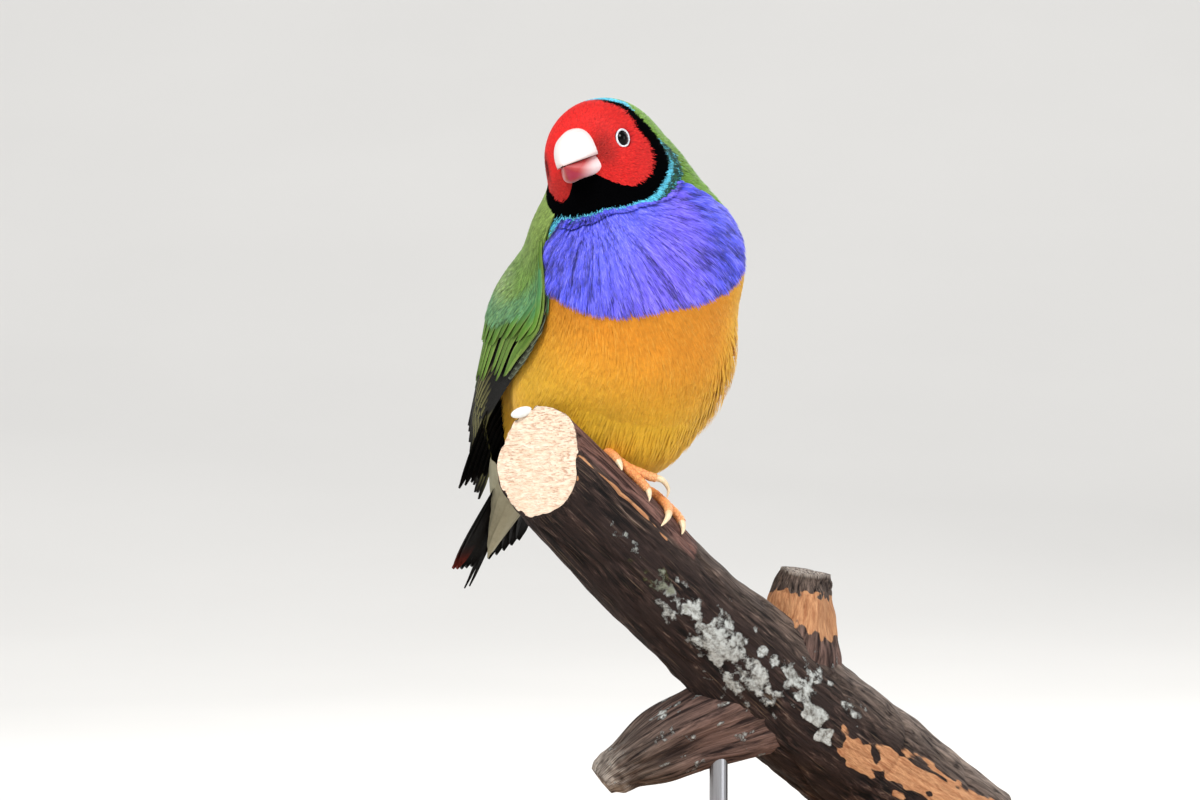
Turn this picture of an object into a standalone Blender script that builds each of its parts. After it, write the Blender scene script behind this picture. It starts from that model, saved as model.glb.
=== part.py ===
"""Gouldian finch perched on a cut branch, held by a plain display stand.

Lengths are in millimetres here and become metres as each mesh is made. +X is to the right of the
side that faces the viewer, +Y runs away from the viewer and +Z is up. The origin is the centre of
the underside of the stand's base.
"""
import math

import bmesh
import bpy
import numpy as np

MM = 0.001
GAP = 0.3
WELD = 0.002
UP = np.array((0.0, 0.0, 1.0))

# How the bird sits: the body faces right of the viewer and leans, the head is turned to the left
BODY_ORIGIN = np.array((-18.8, -5.0, 133.7))
BODY_HEADING, BODY_PITCH, BODY_ROLL = 33.0, 52.0, 8.0
HEAD_ORIGIN = np.array((-26.6, -12.0, 152.6))
HEAD_TURN, HEAD_DIP, HEAD_ROLL = 25.0, 10.0, 19.0

# Rounded masses of the plumage: frame, centre, half sizes. Body masses run ventral, left, headward,
# head masses run forward, left, up
MASSES = (
    ("skull", "head", (0.6, 0.0, 0.0), (9.3, 9.5, 9.0)),
    ("hindskull", "head", (-3.2, 0.0, -0.3), (8.6, 8.2, 8.4)),
    ("throat", "head", (-0.5, 1.6, -6.4), (8.6, 8.4, 7.0)),
    ("nape", "body", (-10.2, 2.2, 6.2), (9.5, 9.5, 11.5)),
    ("chest", "body", (0.0, 0.0, 0.0), (20.0, 20.0, 15.5)),
    ("belly", "body", (5.0, 0.0, -17.0), (20.0, 21.0, 20.0)),
    ("low_belly", "body", (8.0, 0.0, -29.0), (15.0, 20.0, 15.0)),
    ("vent", "body", (-3.5, -1.0, -43.5), (9.5, 12.5, 12.0)),
    ("back", "body", (-9.0, 0.0, -22.0), (11.0, 16.0, 21.0)),
)
BLEND = 2.4

# Spine from the tail's root to the middle of the skull, with how far each ring has turned to the head
SPINE_BODY = ((-5.5, -0.8, -52.0), (2.0, -0.5, -36.0), (2.0, 0.0, -18.0), (0.0, 0.0, -2.0))
SPINE_HEAD = ((-2.2, 4.4, -12.4), (-1.6, 1.8, -5.6), (0.0, 0.0, 0.0))
TURN_TO_HEAD = (0.0, 0.0, 0.05, 0.2, 0.6, 0.88, 1.0)
RING_SIDES = 32
NECK_FROM, NECK_TO = 0.635, 0.80

# Bill, in head coordinates: distance forward, half width, top or bottom height
UPPER_BILL = ((6.5, 4.5, 6.3), (8.5, 4.5, 6.3), (10.5, 4.2, 5.8), (12.5, 3.4, 4.7), (14.5, 2.1, 2.9),
              (15.9, 1.0, 1.3), (16.8, 0.2, 0.25))
LOWER_BILL = ((6.5, 4.4, -4.6), (8.5, 4.4, -4.6), (10.5, 4.0, -4.2), (12.4, 3.1, -3.4), (14.0, 2.0, -2.3),
              (15.3, 1.0, -1.2), (16.1, 0.25, -0.4))
MOUTH_BACK, MOUTH_TIP = -0.35, -0.1
NOSTRIL_PLACE, NOSTRIL_RADIUS = (9.9, 1.9, 6.0), 0.6
BILL_SQUARE = {True: 0.85, False: 0.62}

# Eye, on the left side of the head
EYE_PLACE = np.array((6.0, 8.2, 0.9))
EYE_FACING = np.array((0.50, 0.85, 0.12))
EYE_RADIUS, EYE_SUNK = 1.75, 1.2
LID_RADIUS, LID_THICK = 1.72, 0.36
LID_SIDES, LID_LAPS = 20, 6

# Perch: centre line and radius, then the two broken side stubs
PERCH_LINE = ((-45.2, -21.4, 101.0, 9.7), (-38.2, -17.0, 94.1, 9.9), (-20.5, -6.0, 76.6, 10.4),
              (-4.8, 4.0, 61.5, 11.0), (11.5, 14.4, 46.6, 12.3), (27.0, 23.0, 34.2, 12.2),
              (46.0, 31.8, 21.2, 11.0))
PERCH_SIDES, PERCH_RINGS = 22, 20
CUT_CENTRE = np.array((-38.2, -17.0, 94.1))
CUT_AZIMUTH, CUT_RISE = -40.0, 14.0
UPPER_STUB = ((8.0, 14.0, 51.0, 9.5), (10.5, 13.0, 60.0, 8.0), (12.0, 12.0, 67.0, 6.0),
              (12.4, 11.5, 71.5, 5.2), (12.6, 11.2, 73.2, 4.2))
LOWER_STUB = ((0.0, 8.0, 52.0, 8.5), (-9.0, 6.5, 44.5, 7.2), (-16.5, 5.5, 38.5, 5.4),
              (-22.0, 5.0, 34.0, 3.6), (-25.5, 4.7, 31.2, 1.6))

# Stand
BASE_SIZE = (130.0, 90.0, 8.0)
BASE_CORNER, BASE_EDGE = 10.0, 1.2
ROD_RADIUS = 1.75
RODS = ((-4.0, 4.5, 43.0), (38.5, 28.3, 22.0))

# Feet: place along the perch and round it, then how far each toe reaches along and round
FEET = {"right": (7.0, 12.0), "left": (17.0, 14.0)}
TOES = {
    "right": (((0.0, 0.0), (3.2, 1.0), (6.0, 6.0), (8.4, 14.0), (10.2, 22.0)),
              ((0.0, 0.0), (2.4, 8.0), (4.6, 15.0), (6.4, 20.0), (7.6, 28.0)),
              ((0.0, 0.0), (1.6, 14.0), (3.0, 24.0), (4.2, 33.0), (5.0, 43.0)),
              ((0.0, 0.0), (-1.2, -24.0), (-2.0, -46.0), (-2.2, -64.0), (-2.2, -78.0))),
    "left": (((0.0, 0.0), (2.6, 2.0), (5.2, 6.0), (7.4, 12.0), (8.9, 22.0)),
             ((0.0, 0.0), (1.6, 10.0), (3.2, 20.0), (4.4, 29.0), (5.2, 38.0)),
             ((0.0, 0.0), (3.0, -8.0), (6.0, -16.0), (8.2, -20.0), (9.8, -22.0)),
             ((0.0, 0.0), (-1.2, -24.0), (-2.0, -46.0), (-2.2, -64.0), (-2.2, -78.0))),
}
TOE_RADII = (1.05, 0.95, 0.8, 0.5, 0.14)
HUB_RADIUS = 1.45
LEG_RISE = np.array((0.5, 5.5, 6.5))
THIGH_RADIUS, TARSUS_RADIUS = 2.3, 1.15

# Wings: guide curves in body coordinates, as places along the body and angles round it
WING_FREE, WING_TAPER, WING_CLEAR = -24.0, 0.14, 0.45
WING_STATIONS = (-66.0, -62.0, -52.0, -40.0, -27.0, -15.0, -8.0, -4.0, 4.0)
WING_LOW_EDGE = (137.0, 135.0, 126.0, 112.0, 89.0, 79.0, 81.0, 96.0, 112.0)
WING_HIGH_EDGE = (147.0, 150.0, 159.0, 167.0, 169.0, 162.0, 154.0, 148.0, 142.0)

# Feather tiers of a wing: count, along the wing for roots and tips, across it, half width, height
PRIMARIES = dict(count=7, root=(-10.0, -12.0), tip=(-64.5, -46.0), across=(0.05, 0.40), half=2.2,
                 height=(1.05, 1.6), point=0.55, stations=6)
SECONDARIES = dict(count=5, root=(-12.0, -12.0), tip=(-41.0, -37.0), across=(0.42, 0.68), half=2.6,
                   height=(1.7, 2.0), point=0.35, stations=5)
TERTIALS = dict(count=3, root=(-11.0, -9.0), tip=(-38.0, -31.0), across=(0.76, 0.92), half=2.7,
                height=(2.1, 2.4), point=0.4, stations=5)
GREATER_COVERTS = dict(count=6, root=(-7.0, -7.0), tip=(-24.0, -25.0), across=(0.06, 0.74), half=2.4,
                       height=(2.2, 3.0), point=0.45, stations=4)
MEDIAN_COVERTS = dict(count=5, root=(-4.0, -4.0), tip=(-16.5, -16.5), across=(0.08, 0.80), half=2.5,
                      height=(2.9, 3.4), point=0.5, stations=4)
SHINGLE_TILT = 10.0
ROOT_SUNK, LOWEST_VANE = 0.6, 1.05
CORE_EDGE, CORE_SWELL, SWELL_QUICK = 0.35, 2.3, 1.15
VANE_THICK, VANE_TIP_THICK = 0.55, 0.35

# Tail: root, direction and roll, then feather tiers in the tail's own frame
TAIL_AIM = np.array((-0.37, 0.50, -0.78))
TAIL_ROLL = 17.0
RECTRIX_LENGTHS = (22.5, 23.5, 24.5, 25.0, 25.5, 31.0)
RECTRIX_SPREAD, RECTRIX_HALF = 13.0, 2.3

# Colours as linear red, green, blue with roughness and metallic
COLOURS = {
    "scarlet": ((0.62, 0.02, 0.015), 0.8, 0.0),
    "black": ((0.012, 0.012, 0.014), 0.7, 0.0),
    "green": ((0.10, 0.22, 0.03), 0.75, 0.0),
    "amber": ((0.72, 0.36, 0.03), 0.8, 0.0),
    "bill_white": ((0.80, 0.74, 0.68), 0.35, 0.0),
    "bill_red": ((0.70, 0.20, 0.14), 0.35, 0.0),
    "eye_black": ((0.01, 0.008, 0.006), 0.08, 0.0),
    "toe": ((0.72, 0.34, 0.16), 0.55, 0.0),
    "bark": ((0.07, 0.045, 0.035), 0.9, 0.0),
    "base_wood": ((0.36, 0.24, 0.14), 0.5, 0.0),
    "rod_steel": ((0.55, 0.55, 0.56), 0.35, 1.0),
}


def unit(vector):
    vector = np.asarray(vector, float)
    return vector / np.linalg.norm(vector, axis=-1, keepdims=True)


def body_axes():
    heading, pitch, roll = np.radians((BODY_HEADING, BODY_PITCH, BODY_ROLL))
    ahead = np.array((math.sin(heading), -math.cos(heading), 0.0))
    headward = math.cos(pitch) * ahead + math.sin(pitch) * UP
    level_left = np.array((math.cos(heading), math.sin(heading), 0.0))
    level_ventral = math.sin(pitch) * ahead - math.cos(pitch) * UP
    left = math.cos(roll) * level_left - math.sin(roll) * level_ventral
    ventral = math.cos(roll) * level_ventral + math.sin(roll) * level_left
    return np.stack((ventral, left, headward))


def head_axes():
    turn, dip, roll = np.radians((HEAD_TURN, HEAD_DIP, HEAD_ROLL))
    forward = np.array((-math.sin(turn) * math.cos(dip), -math.cos(turn) * math.cos(dip), -math.sin(dip)))
    level_left = np.array((math.cos(turn), -math.sin(turn), 0.0))
    level_up = np.cross(forward, level_left)
    left = math.cos(roll) * level_left + math.sin(roll) * level_up
    return np.stack((forward, left, np.cross(forward, left)))


BODY = body_axes()
HEAD = head_axes()


def in_body(place):
    return BODY_ORIGIN + np.asarray(place, float) @ BODY


def in_head(place):
    return HEAD_ORIGIN + np.asarray(place, float) @ HEAD


FRAMES = {"body": (BODY, in_body), "head": (HEAD, in_head)}


def plumage_distance(points):
    """Signed distance, roughly, to the smooth union of the masses."""
    total = np.zeros(points.shape[:-1])
    for _, frame, centre, half in MASSES:
        axes, placed = FRAMES[frame]
        local = (points - placed(centre)) @ axes.T
        scaled = np.linalg.norm(local / half, axis=-1)
        slope = np.linalg.norm(local / np.square(half), axis=-1) + 1e-9
        total += np.exp(-np.clip(scaled * (scaled - 1.0) / slope, -60.0, 200.0) / BLEND)
    return -BLEND * np.log(total + 1e-300)


def cast(centres, directions, grow=0.0, far=45.0):
    """Points where rays from inside leave the plumage, grown by a clearance."""
    near = np.zeros(directions.shape[:-1])
    away = np.full(directions.shape[:-1], far)
    for _ in range(24):
        middle = (near + away) / 2
        inside = plumage_distance(centres + directions * middle[..., None]) < grow
        near = np.where(inside, middle, near)
        away = np.where(inside, away, middle)
    return (near + away) / 2


def smooth_line(points, share):
    """Catmull-Rom curve through points, at shares of its length counted by points."""
    points = np.asarray(points, float)
    last = len(points) - 1
    along = np.clip(np.asarray(share, float), 0.0, 1.0) * last
    start = np.clip(along.astype(int), 0, last - 1)
    f = (along - start)[..., None]
    p = np.concatenate(([2 * points[0] - points[1]], points, [2 * points[-1] - points[-2]]))
    a, b, c, d = p[start], p[start + 1], p[start + 2], p[start + 3]
    return 0.5 * (2 * b + (c - a) * f + (2 * a - 5 * b + 4 * c - d) * f**2 + (3 * b - a - 3 * c + d) * f**3)


SPINE = np.array([in_body(p) for p in SPINE_BODY] + [in_head(p) for p in SPINE_HEAD])


def ring_frame(share):
    """Ventral, left and headward directions of the ring at a share of the spine."""
    turned = float(smooth_line(np.array(TURN_TO_HEAD)[:, None], share)[0])
    headward = unit((1 - turned) * BODY[2] + turned * HEAD[2])
    front = (1 - turned) * BODY[0] + turned * HEAD[0]
    front = unit(front - headward * (front @ headward))
    return front, np.cross(headward, front), headward


def body_ring(share, tilt=0.0, shift=0.0, grow=0.0, sides=RING_SIDES):
    """One ring of the plumage, in its plane, or tilted up over the crown."""
    front, left, headward = ring_frame(share)
    turn = np.linspace(0.0, 2 * math.pi, sides, endpoint=False)[:, None]
    flat = np.cos(turn) * front + np.sin(turn) * left
    direction = math.cos(tilt) * flat + math.sin(tilt) * headward
    centre = smooth_line(SPINE, share) + headward * shift
    return centre + direction * cast(centre, direction, grow)[:, None]


# Meshes and Booleans

parts = bpy.data.collections.new("gouldian_finch")
cutters = bpy.data.collections.new("cutters")


def start_scene():
    for old in list(bpy.data.objects):
        bpy.data.objects.remove(old, do_unlink=True)
    for collection in (parts, cutters):
        bpy.context.scene.collection.children.link(collection)


def material(name):
    found = bpy.data.materials.get(name)
    if found:
        return found
    colour, roughness, metallic = COLOURS[name]
    made = bpy.data.materials.new(name)
    made.use_nodes = True
    shader = made.node_tree.nodes["Principled BSDF"]
    shader.inputs["Base Color"].default_value = (*colour, 1.0)
    shader.inputs["Roughness"].default_value = roughness
    shader.inputs["Metallic"].default_value = metallic
    return made


def mesh_object(name, points, faces, colour=None, collection=None):
    mesh = bpy.data.meshes.new(name)
    mesh.from_pydata((np.asarray(points) * MM).tolist(), [], faces)
    mesh.validate()
    made = bpy.data.objects.new(name, mesh)
    (collection or cutters).objects.link(made)
    if colour:
        mesh.materials.append(material(colour))
    return made


def loft(name, rings, colour=None, collection=None):
    """Closed body through rings of like count. A ring of one point is a tip, others get a cap of strips."""
    rings = [np.atleast_2d(r) for r in rings]
    starts = [sum(len(r) for r in rings[:i]) for i in range(len(rings))]
    faces = []
    for (a, ra), (b, rb) in zip(zip(starts, rings), zip(starts[1:], rings[1:])):
        count = max(len(ra), len(rb))
        for i in range(count):
            j = (i + 1) % count
            if len(ra) == 1:
                faces.append((a, b + j, b + i))
            elif len(rb) == 1:
                faces.append((a + i, a + j, b))
            else:
                faces.append((a + i, a + j, b + j))
                faces.append((a + i, b + j, b + i))
    for start, ring, first in ((starts[0], rings[0], True), (starts[-1], rings[-1], False)):
        for i in range((len(ring) - 1) // 2):
            near, far = (start + i, start + i + 1), (start + len(ring) - 2 - i, start + len(ring) - 1 - i)
            strip = [(near[0], near[1], far[1])]
            if near[1] != far[0]:
                strip.append((near[1], far[0], far[1]))
            faces += [face[::-1] for face in strip] if first else strip
    made = mesh_object(name, np.concatenate(rings), faces, colour, collection)
    face_outwards(made)
    return made


def face_outwards(thing):
    shape = bmesh.new()
    shape.from_mesh(thing.data)
    bmesh.ops.recalc_face_normals(shape, faces=shape.faces)
    if shape.calc_volume(signed=True) < 0:
        bmesh.ops.reverse_faces(shape, faces=shape.faces)
    shape.to_mesh(thing.data)
    shape.free()


def remove_fins(shape):
    """Takes out pairs of faces that lie back to back on the same three points."""
    shape.verts.index_update()
    pairs = {}
    for face in shape.faces:
        pairs.setdefault(frozenset(v.index for v in face.verts), []).append(face)
    fins = [face for found in pairs.values() if len(found) == 2 for face in found]
    bmesh.ops.delete(shape, geom=fins, context="FACES")
    bmesh.ops.delete(shape, geom=[e for e in shape.edges if not e.link_faces], context="EDGES")


def keep_largest(thing):
    """Keeps the largest closed surface, welded and split into triangles."""
    shape = bmesh.new()
    shape.from_mesh(thing.data)
    bmesh.ops.triangulate(shape, faces=shape.faces)
    bmesh.ops.remove_doubles(shape, verts=shape.verts, dist=WELD * MM)
    bmesh.ops.dissolve_degenerate(shape, edges=shape.edges, dist=WELD * MM)
    bmesh.ops.triangulate(shape, faces=shape.faces)
    remove_fins(shape)
    shape.verts.ensure_lookup_table()
    left = set(shape.verts)
    islands = []
    while left:
        stack = [left.pop()]
        island = set(stack)
        while stack:
            for edge in stack.pop().link_edges:
                for vert in edge.verts:
                    if vert in left:
                        left.discard(vert)
                        island.add(vert)
                        stack.append(vert)
        islands.append(island)
    largest = max(islands, key=lambda island: sum(f.calc_area() for v in island for f in v.link_faces))
    bmesh.ops.delete(shape, geom=[v for v in shape.verts if v not in largest], context="VERTS")
    shape.to_mesh(thing.data)
    shape.free()


def combine(thing, tools, operation, solver="EXACT"):
    """One Boolean of a whole collection of closed pieces, applied, after which the pieces are removed."""
    group = bpy.data.collections.new("pieces")
    bpy.context.scene.collection.children.link(group)
    for tool in tools:
        for owner in list(tool.users_collection):
            owner.objects.unlink(tool)
        group.objects.link(tool)
    step = thing.modifiers.new(operation.lower(), "BOOLEAN")
    step.operation = operation
    step.operand_type = "COLLECTION"
    step.collection = group
    step.solver = solver
    seen = bpy.context.evaluated_depsgraph_get()
    old = thing.data
    new = bpy.data.meshes.new_from_object(thing.evaluated_get(seen))
    thing.modifiers.clear()
    thing.data = new
    bpy.data.meshes.remove(old)
    for tool in list(group.objects):
        bpy.data.objects.remove(tool, do_unlink=True)
    bpy.data.collections.remove(group)
    keep_largest(thing)
    return thing


def shade(thing):
    thing.data.shade_smooth()
    thing.data.set_sharp_from_angle(angle=math.radians(35.0))


def tube(name, points, radii, colour=None, collection=None, resolution=1):
    """Tapered tube with closed ends along points, made a mesh."""
    curve = bpy.data.curves.new(name, "CURVE")
    curve.dimensions = "3D"
    curve.bevel_depth = MM
    curve.bevel_resolution = resolution
    curve.use_fill_caps = True
    line = curve.splines.new("POLY")
    line.points.add(len(points) - 1)
    for knot, place, radius in zip(line.points, points, radii):
        knot.co = (*(np.asarray(place) * MM), 1.0)
        knot.radius = radius
    holder = bpy.data.objects.new(name + "_curve", curve)
    cutters.objects.link(holder)
    seen = bpy.context.evaluated_depsgraph_get()
    mesh = bpy.data.meshes.new_from_object(holder.evaluated_get(seen))
    bpy.data.objects.remove(holder, do_unlink=True)
    made = bpy.data.objects.new(name, mesh)
    (collection or cutters).objects.link(made)
    shape = bmesh.new()
    shape.from_mesh(mesh)
    bmesh.ops.remove_doubles(shape, verts=shape.verts, dist=WELD * MM)
    bmesh.ops.recalc_face_normals(shape, faces=shape.faces)
    shape.to_mesh(mesh)
    shape.free()
    if colour:
        mesh.materials.clear()
        mesh.materials.append(material(colour))
    return made


def ball(name, centre, radius, colour=None, collection=None, sides=16, rings=10):
    mesh = bpy.data.meshes.new(name)
    shape = bmesh.new()
    bmesh.ops.create_uvsphere(shape, u_segments=sides, v_segments=rings, radius=radius * MM)
    shape.to_mesh(mesh)
    shape.free()
    made = bpy.data.objects.new(name, mesh)
    made.location = np.asarray(centre) * MM
    (collection or cutters).objects.link(made)
    if colour:
        mesh.materials.append(material(colour))
    return made


# Body

def body_cutter(name):
    """The whole plumage grown by the gap, which clears what grows from it."""
    rings = [body_ring(s, grow=GAP) for s in np.linspace(0.0, 1.0, 30)]
    rings += [body_ring(1.0, tilt=math.radians(t), grow=GAP) for t in (18, 36, 54, 72)]
    top = smooth_line(SPINE, 1.0)
    rings.append(top + HEAD[2] * cast(top, HEAD[2][None], GAP)[0])
    return loft(name, rings)


def eye_centre(side):
    place = EYE_PLACE * (1, side, 1)
    facing = unit(EYE_FACING * (1, side, 1)) @ HEAD
    return in_head(place) - facing * EYE_SUNK, facing


def lid_ring(name, side):
    """Raised rim round an eye."""
    centre, facing = eye_centre(side)
    seat = centre + facing * (EYE_SUNK + 0.1)
    across = unit(np.cross(facing, UP))
    other = np.cross(facing, across)
    points, faces = [], []
    for turn in np.linspace(0.0, 2 * math.pi, LID_SIDES, endpoint=False):
        out = math.cos(turn) * across + math.sin(turn) * other
        for lap in np.linspace(0.0, 2 * math.pi, LID_LAPS, endpoint=False):
            reach = LID_RADIUS + LID_THICK * math.cos(lap)
            points.append(seat + out * reach + facing * LID_THICK * math.sin(lap))
    for i in range(LID_SIDES):
        here, there = i * LID_LAPS, (i + 1) % LID_SIDES * LID_LAPS
        for j in range(LID_LAPS):
            k = (j + 1) % LID_LAPS
            faces.append((here + j, here + k, there + k, there + j))
    made = mesh_object(name, points, faces)
    face_outwards(made)
    return made


def build_head():
    rings = [body_ring(NECK_TO, shift=GAP / 2)]
    rings += [body_ring(s) for s in np.linspace(NECK_TO + 0.035, 1.0, 6)]
    rings += [body_ring(1.0, tilt=math.radians(t)) for t in (17, 34, 50, 65, 79)]
    top = smooth_line(SPINE, 1.0)
    rings.append(top + HEAD[2] * cast(top, HEAD[2][None])[0])
    head = loft("head", rings, "scarlet", parts)
    combine(head, [lid_ring("lid_%d" % side, side) for side in (1, -1)], "UNION")
    sockets = [ball("socket_%d" % side, eye_centre(side)[0], EYE_RADIUS + GAP) for side in (1, -1)]
    combine(head, sockets, "DIFFERENCE")
    for side, name in ((1, "eye_left"), (-1, "eye_right")):
        ball(name, eye_centre(side)[0], EYE_RADIUS, "eye_black", parts, sides=14, rings=8)
    return head


def build_neck():
    shares = np.linspace(NECK_FROM, NECK_TO, 5)
    rings = [body_ring(shares[0], shift=GAP / 2)]
    rings += [body_ring(s) for s in shares[1:-1]]
    rings.append(body_ring(shares[-1], shift=-GAP / 2))
    return loft("neck", rings, "black", parts)


def build_torso():
    shares = np.linspace(0.0, NECK_FROM, 17)
    rings = [body_ring(s) for s in shares[:-1]]
    rings.append(body_ring(shares[-1], shift=-GAP / 2))
    return loft("torso", rings, "amber", parts)


def bill_half(name, stations, upper, colour):
    rings = []
    turns = np.linspace(0.0, math.pi, 9)
    first, last = stations[0][0], stations[-1][0]
    for forward, half, height in stations:
        share = (forward - first) / (last - first)
        mouth = MOUTH_BACK + (MOUTH_TIP - MOUTH_BACK) * share
        edge = mouth + (GAP / 2 if upper else -GAP / 2)
        points = []
        for turn in turns:
            wide = math.copysign(abs(math.cos(turn)) ** BILL_SQUARE[upper], math.cos(turn))
            tall = math.sin(turn) ** BILL_SQUARE[upper]
            points.append((forward, half * wide, edge + (height - edge) * tall))
        rings.append(in_head(points))
    return loft(name, rings, colour, parts)


def build_bill():
    upper = bill_half("bill_upper", UPPER_BILL, True, "bill_white")
    lower = bill_half("bill_lower", LOWER_BILL, False, "bill_red")
    for half in (upper, lower):
        combine(half, [body_cutter("bill_seat")], "DIFFERENCE")
    forward, beside, high = NOSTRIL_PLACE
    nostrils = [ball("nostril_%d" % side, in_head((forward, beside * side, high)), NOSTRIL_RADIUS, sides=8, rings=6)
                for side in (1, -1)]
    combine(upper, nostrils, "DIFFERENCE")
    return upper, lower


# Wings

def wing_radius(side, angle, along):
    """Distance of the wing's underside from the body axis, straight beyond the belly."""
    angle, along = np.broadcast_arrays(np.asarray(angle, float), np.asarray(along, float))
    turn = np.radians(angle)[..., None]
    direction = np.cos(turn) * BODY[0] + side * np.sin(turn) * BODY[1]
    skin = cast(BODY_ORIGIN + along[..., None] * BODY[2], direction)
    rim = cast(BODY_ORIGIN + np.full_like(along, WING_FREE)[..., None] * BODY[2], direction)
    straight = rim - WING_TAPER * (WING_FREE - along)
    return np.where(along < WING_FREE, np.maximum(skin, straight), skin)


def wing_point(side, angle, along, height):
    turn = np.radians(angle)[..., None]
    reach = (wing_radius(side, angle, along) + height)[..., None]
    return (BODY_ORIGIN + reach * (np.cos(turn) * BODY[0] + side * np.sin(turn) * BODY[1])
            + along[..., None] * BODY[2])


def wing_angle(across, along):
    low = np.interp(along, WING_STATIONS, WING_LOW_EDGE)
    high = np.interp(along, WING_STATIONS, WING_HIGH_EDGE)
    return low + across * (high - low)


def vane(name, middle, across, lift, half, point, thick=VANE_THICK, tip_thick=VANE_TIP_THICK):
    """Flat feather along a line, with its side direction and upward direction at each point."""
    count = len(middle)
    rings = []
    for i in range(count):
        share = i / (count - 1)
        taper = 1.0 if share < 1 - point else math.sqrt(max(0.0, 1 - ((share - 1 + point) / point) ** 2))
        width = half * (0.55 + 0.45 * min(1.0, share / 0.25)) * max(taper, 0.16)
        depth = (thick + (tip_thick - thick) * share) / 2
        side, top = across[i] * width, lift[i] * depth
        rings.append(np.array((middle[i] - side - top, middle[i] + side - top,
                               middle[i] + side + top, middle[i] - side + top)))
    return loft(name, rings)


def wing_vane(name, side, tier, index):
    share = index / max(1, tier["count"] - 1)
    root = tier["root"][0] + (tier["root"][1] - tier["root"][0]) * share
    tip = tier["tip"][0] + (tier["tip"][1] - tier["tip"][0]) * share
    place = tier["across"][0] + (tier["across"][1] - tier["across"][0]) * share
    height = tier["height"][0] + (tier["height"][1] - tier["height"][0]) * share
    along = np.linspace(root, tip, tier["stations"])
    angle = wing_angle(place, along)
    rise = height * np.minimum(1.0, ROOT_SUNK + (1 - ROOT_SUNK) * np.linspace(0.0, 2.0, len(along)))
    rise = np.maximum(rise, LOWEST_VANE)
    middle = wing_point(side, angle, along, rise)
    beside = wing_point(side, angle + 3.0, along, rise)
    run = unit(np.gradient(middle, axis=0))
    outward = unit(np.cross(run, beside - middle))
    axis_side = middle - (BODY_ORIGIN + along[:, None] * BODY[2])
    outward *= np.sign(np.sum(outward * axis_side, axis=1))[:, None]
    dorsal = unit(np.cross(outward, run))
    dorsal *= np.sign(np.sum(dorsal * (beside - middle), axis=1))[:, None]
    tilt = math.radians(SHINGLE_TILT)
    across = math.cos(tilt) * dorsal - math.sin(tilt) * outward
    lift = math.cos(tilt) * outward + math.sin(tilt) * dorsal
    return vane(name, middle, across, lift, tier["half"], tier["point"])


def wing_core(name, side, colour):
    """Shoulder of the folded wing, from which the feathers grow."""
    along = np.linspace(4.0, -15.0, 8)
    across = np.linspace(0.0, 1.0, 9)
    grid_along, grid_across = np.meshgrid(along, across, indexing="ij")
    angle = wing_angle(grid_across, grid_along)
    down = np.linspace(0.0, 1.0, 8)[:, None]
    swell = np.sqrt(np.clip(1 - (2 * grid_across - 1) ** 4, 0, 1))
    swell = swell * np.sin(math.pi / 2 * np.minimum(1.0, down * SWELL_QUICK))
    top = wing_point(side, angle, grid_along, WING_CLEAR + CORE_EDGE + CORE_SWELL * swell)
    under = wing_point(side, angle, grid_along, np.full(angle.shape, WING_CLEAR))
    rings = [np.concatenate((t, u[::-1])) for t, u in zip(top, under)]
    return loft(name, rings, colour, parts)


def build_wing(name, side):
    wing = wing_core(name, side, "green")
    vanes = []
    for label, tier in (("primary", PRIMARIES), ("secondary", SECONDARIES), ("tertial", TERTIALS),
                        ("greater", GREATER_COVERTS), ("median", MEDIAN_COVERTS)):
        vanes += [wing_vane("%s_%s_%d" % (name, label, i), side, tier, i) for i in range(tier["count"])]
    combine(wing, vanes, "UNION", "MANIFOLD")
    return combine(wing, [body_cutter("wing_seat")], "DIFFERENCE", "MANIFOLD")


# Tail

def tail_axes():
    aim = unit(TAIL_AIM)
    left = unit(BODY[1] - aim * (BODY[1] @ aim))
    dorsal = np.cross(left, aim)
    dorsal *= np.sign(-(dorsal @ BODY[0]))
    c, s = math.cos(math.radians(TAIL_ROLL)), math.sin(math.radians(TAIL_ROLL))
    return aim, c * left + s * dorsal, c * dorsal - s * left


def tail_vane(name, start, lean, length, half, height, point, droop=0.0):
    """Tail feather from a place across the root, leaning sideways by an angle."""
    aim, left, dorsal = tail_axes()
    lean = math.radians(lean)
    run = math.cos(lean) * aim + math.sin(lean) * left
    beside = math.cos(lean) * left - math.sin(lean) * aim
    share = np.linspace(0.0, 1.0, 5)[:, None]
    root = SPINE[0] + aim * 3.0
    middle = root + left * start + dorsal * (height - droop * share**2) + run * share * length
    return vane(name, middle, np.repeat(beside[None], 5, 0), np.repeat(dorsal[None], 5, 0), half, point)


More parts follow.
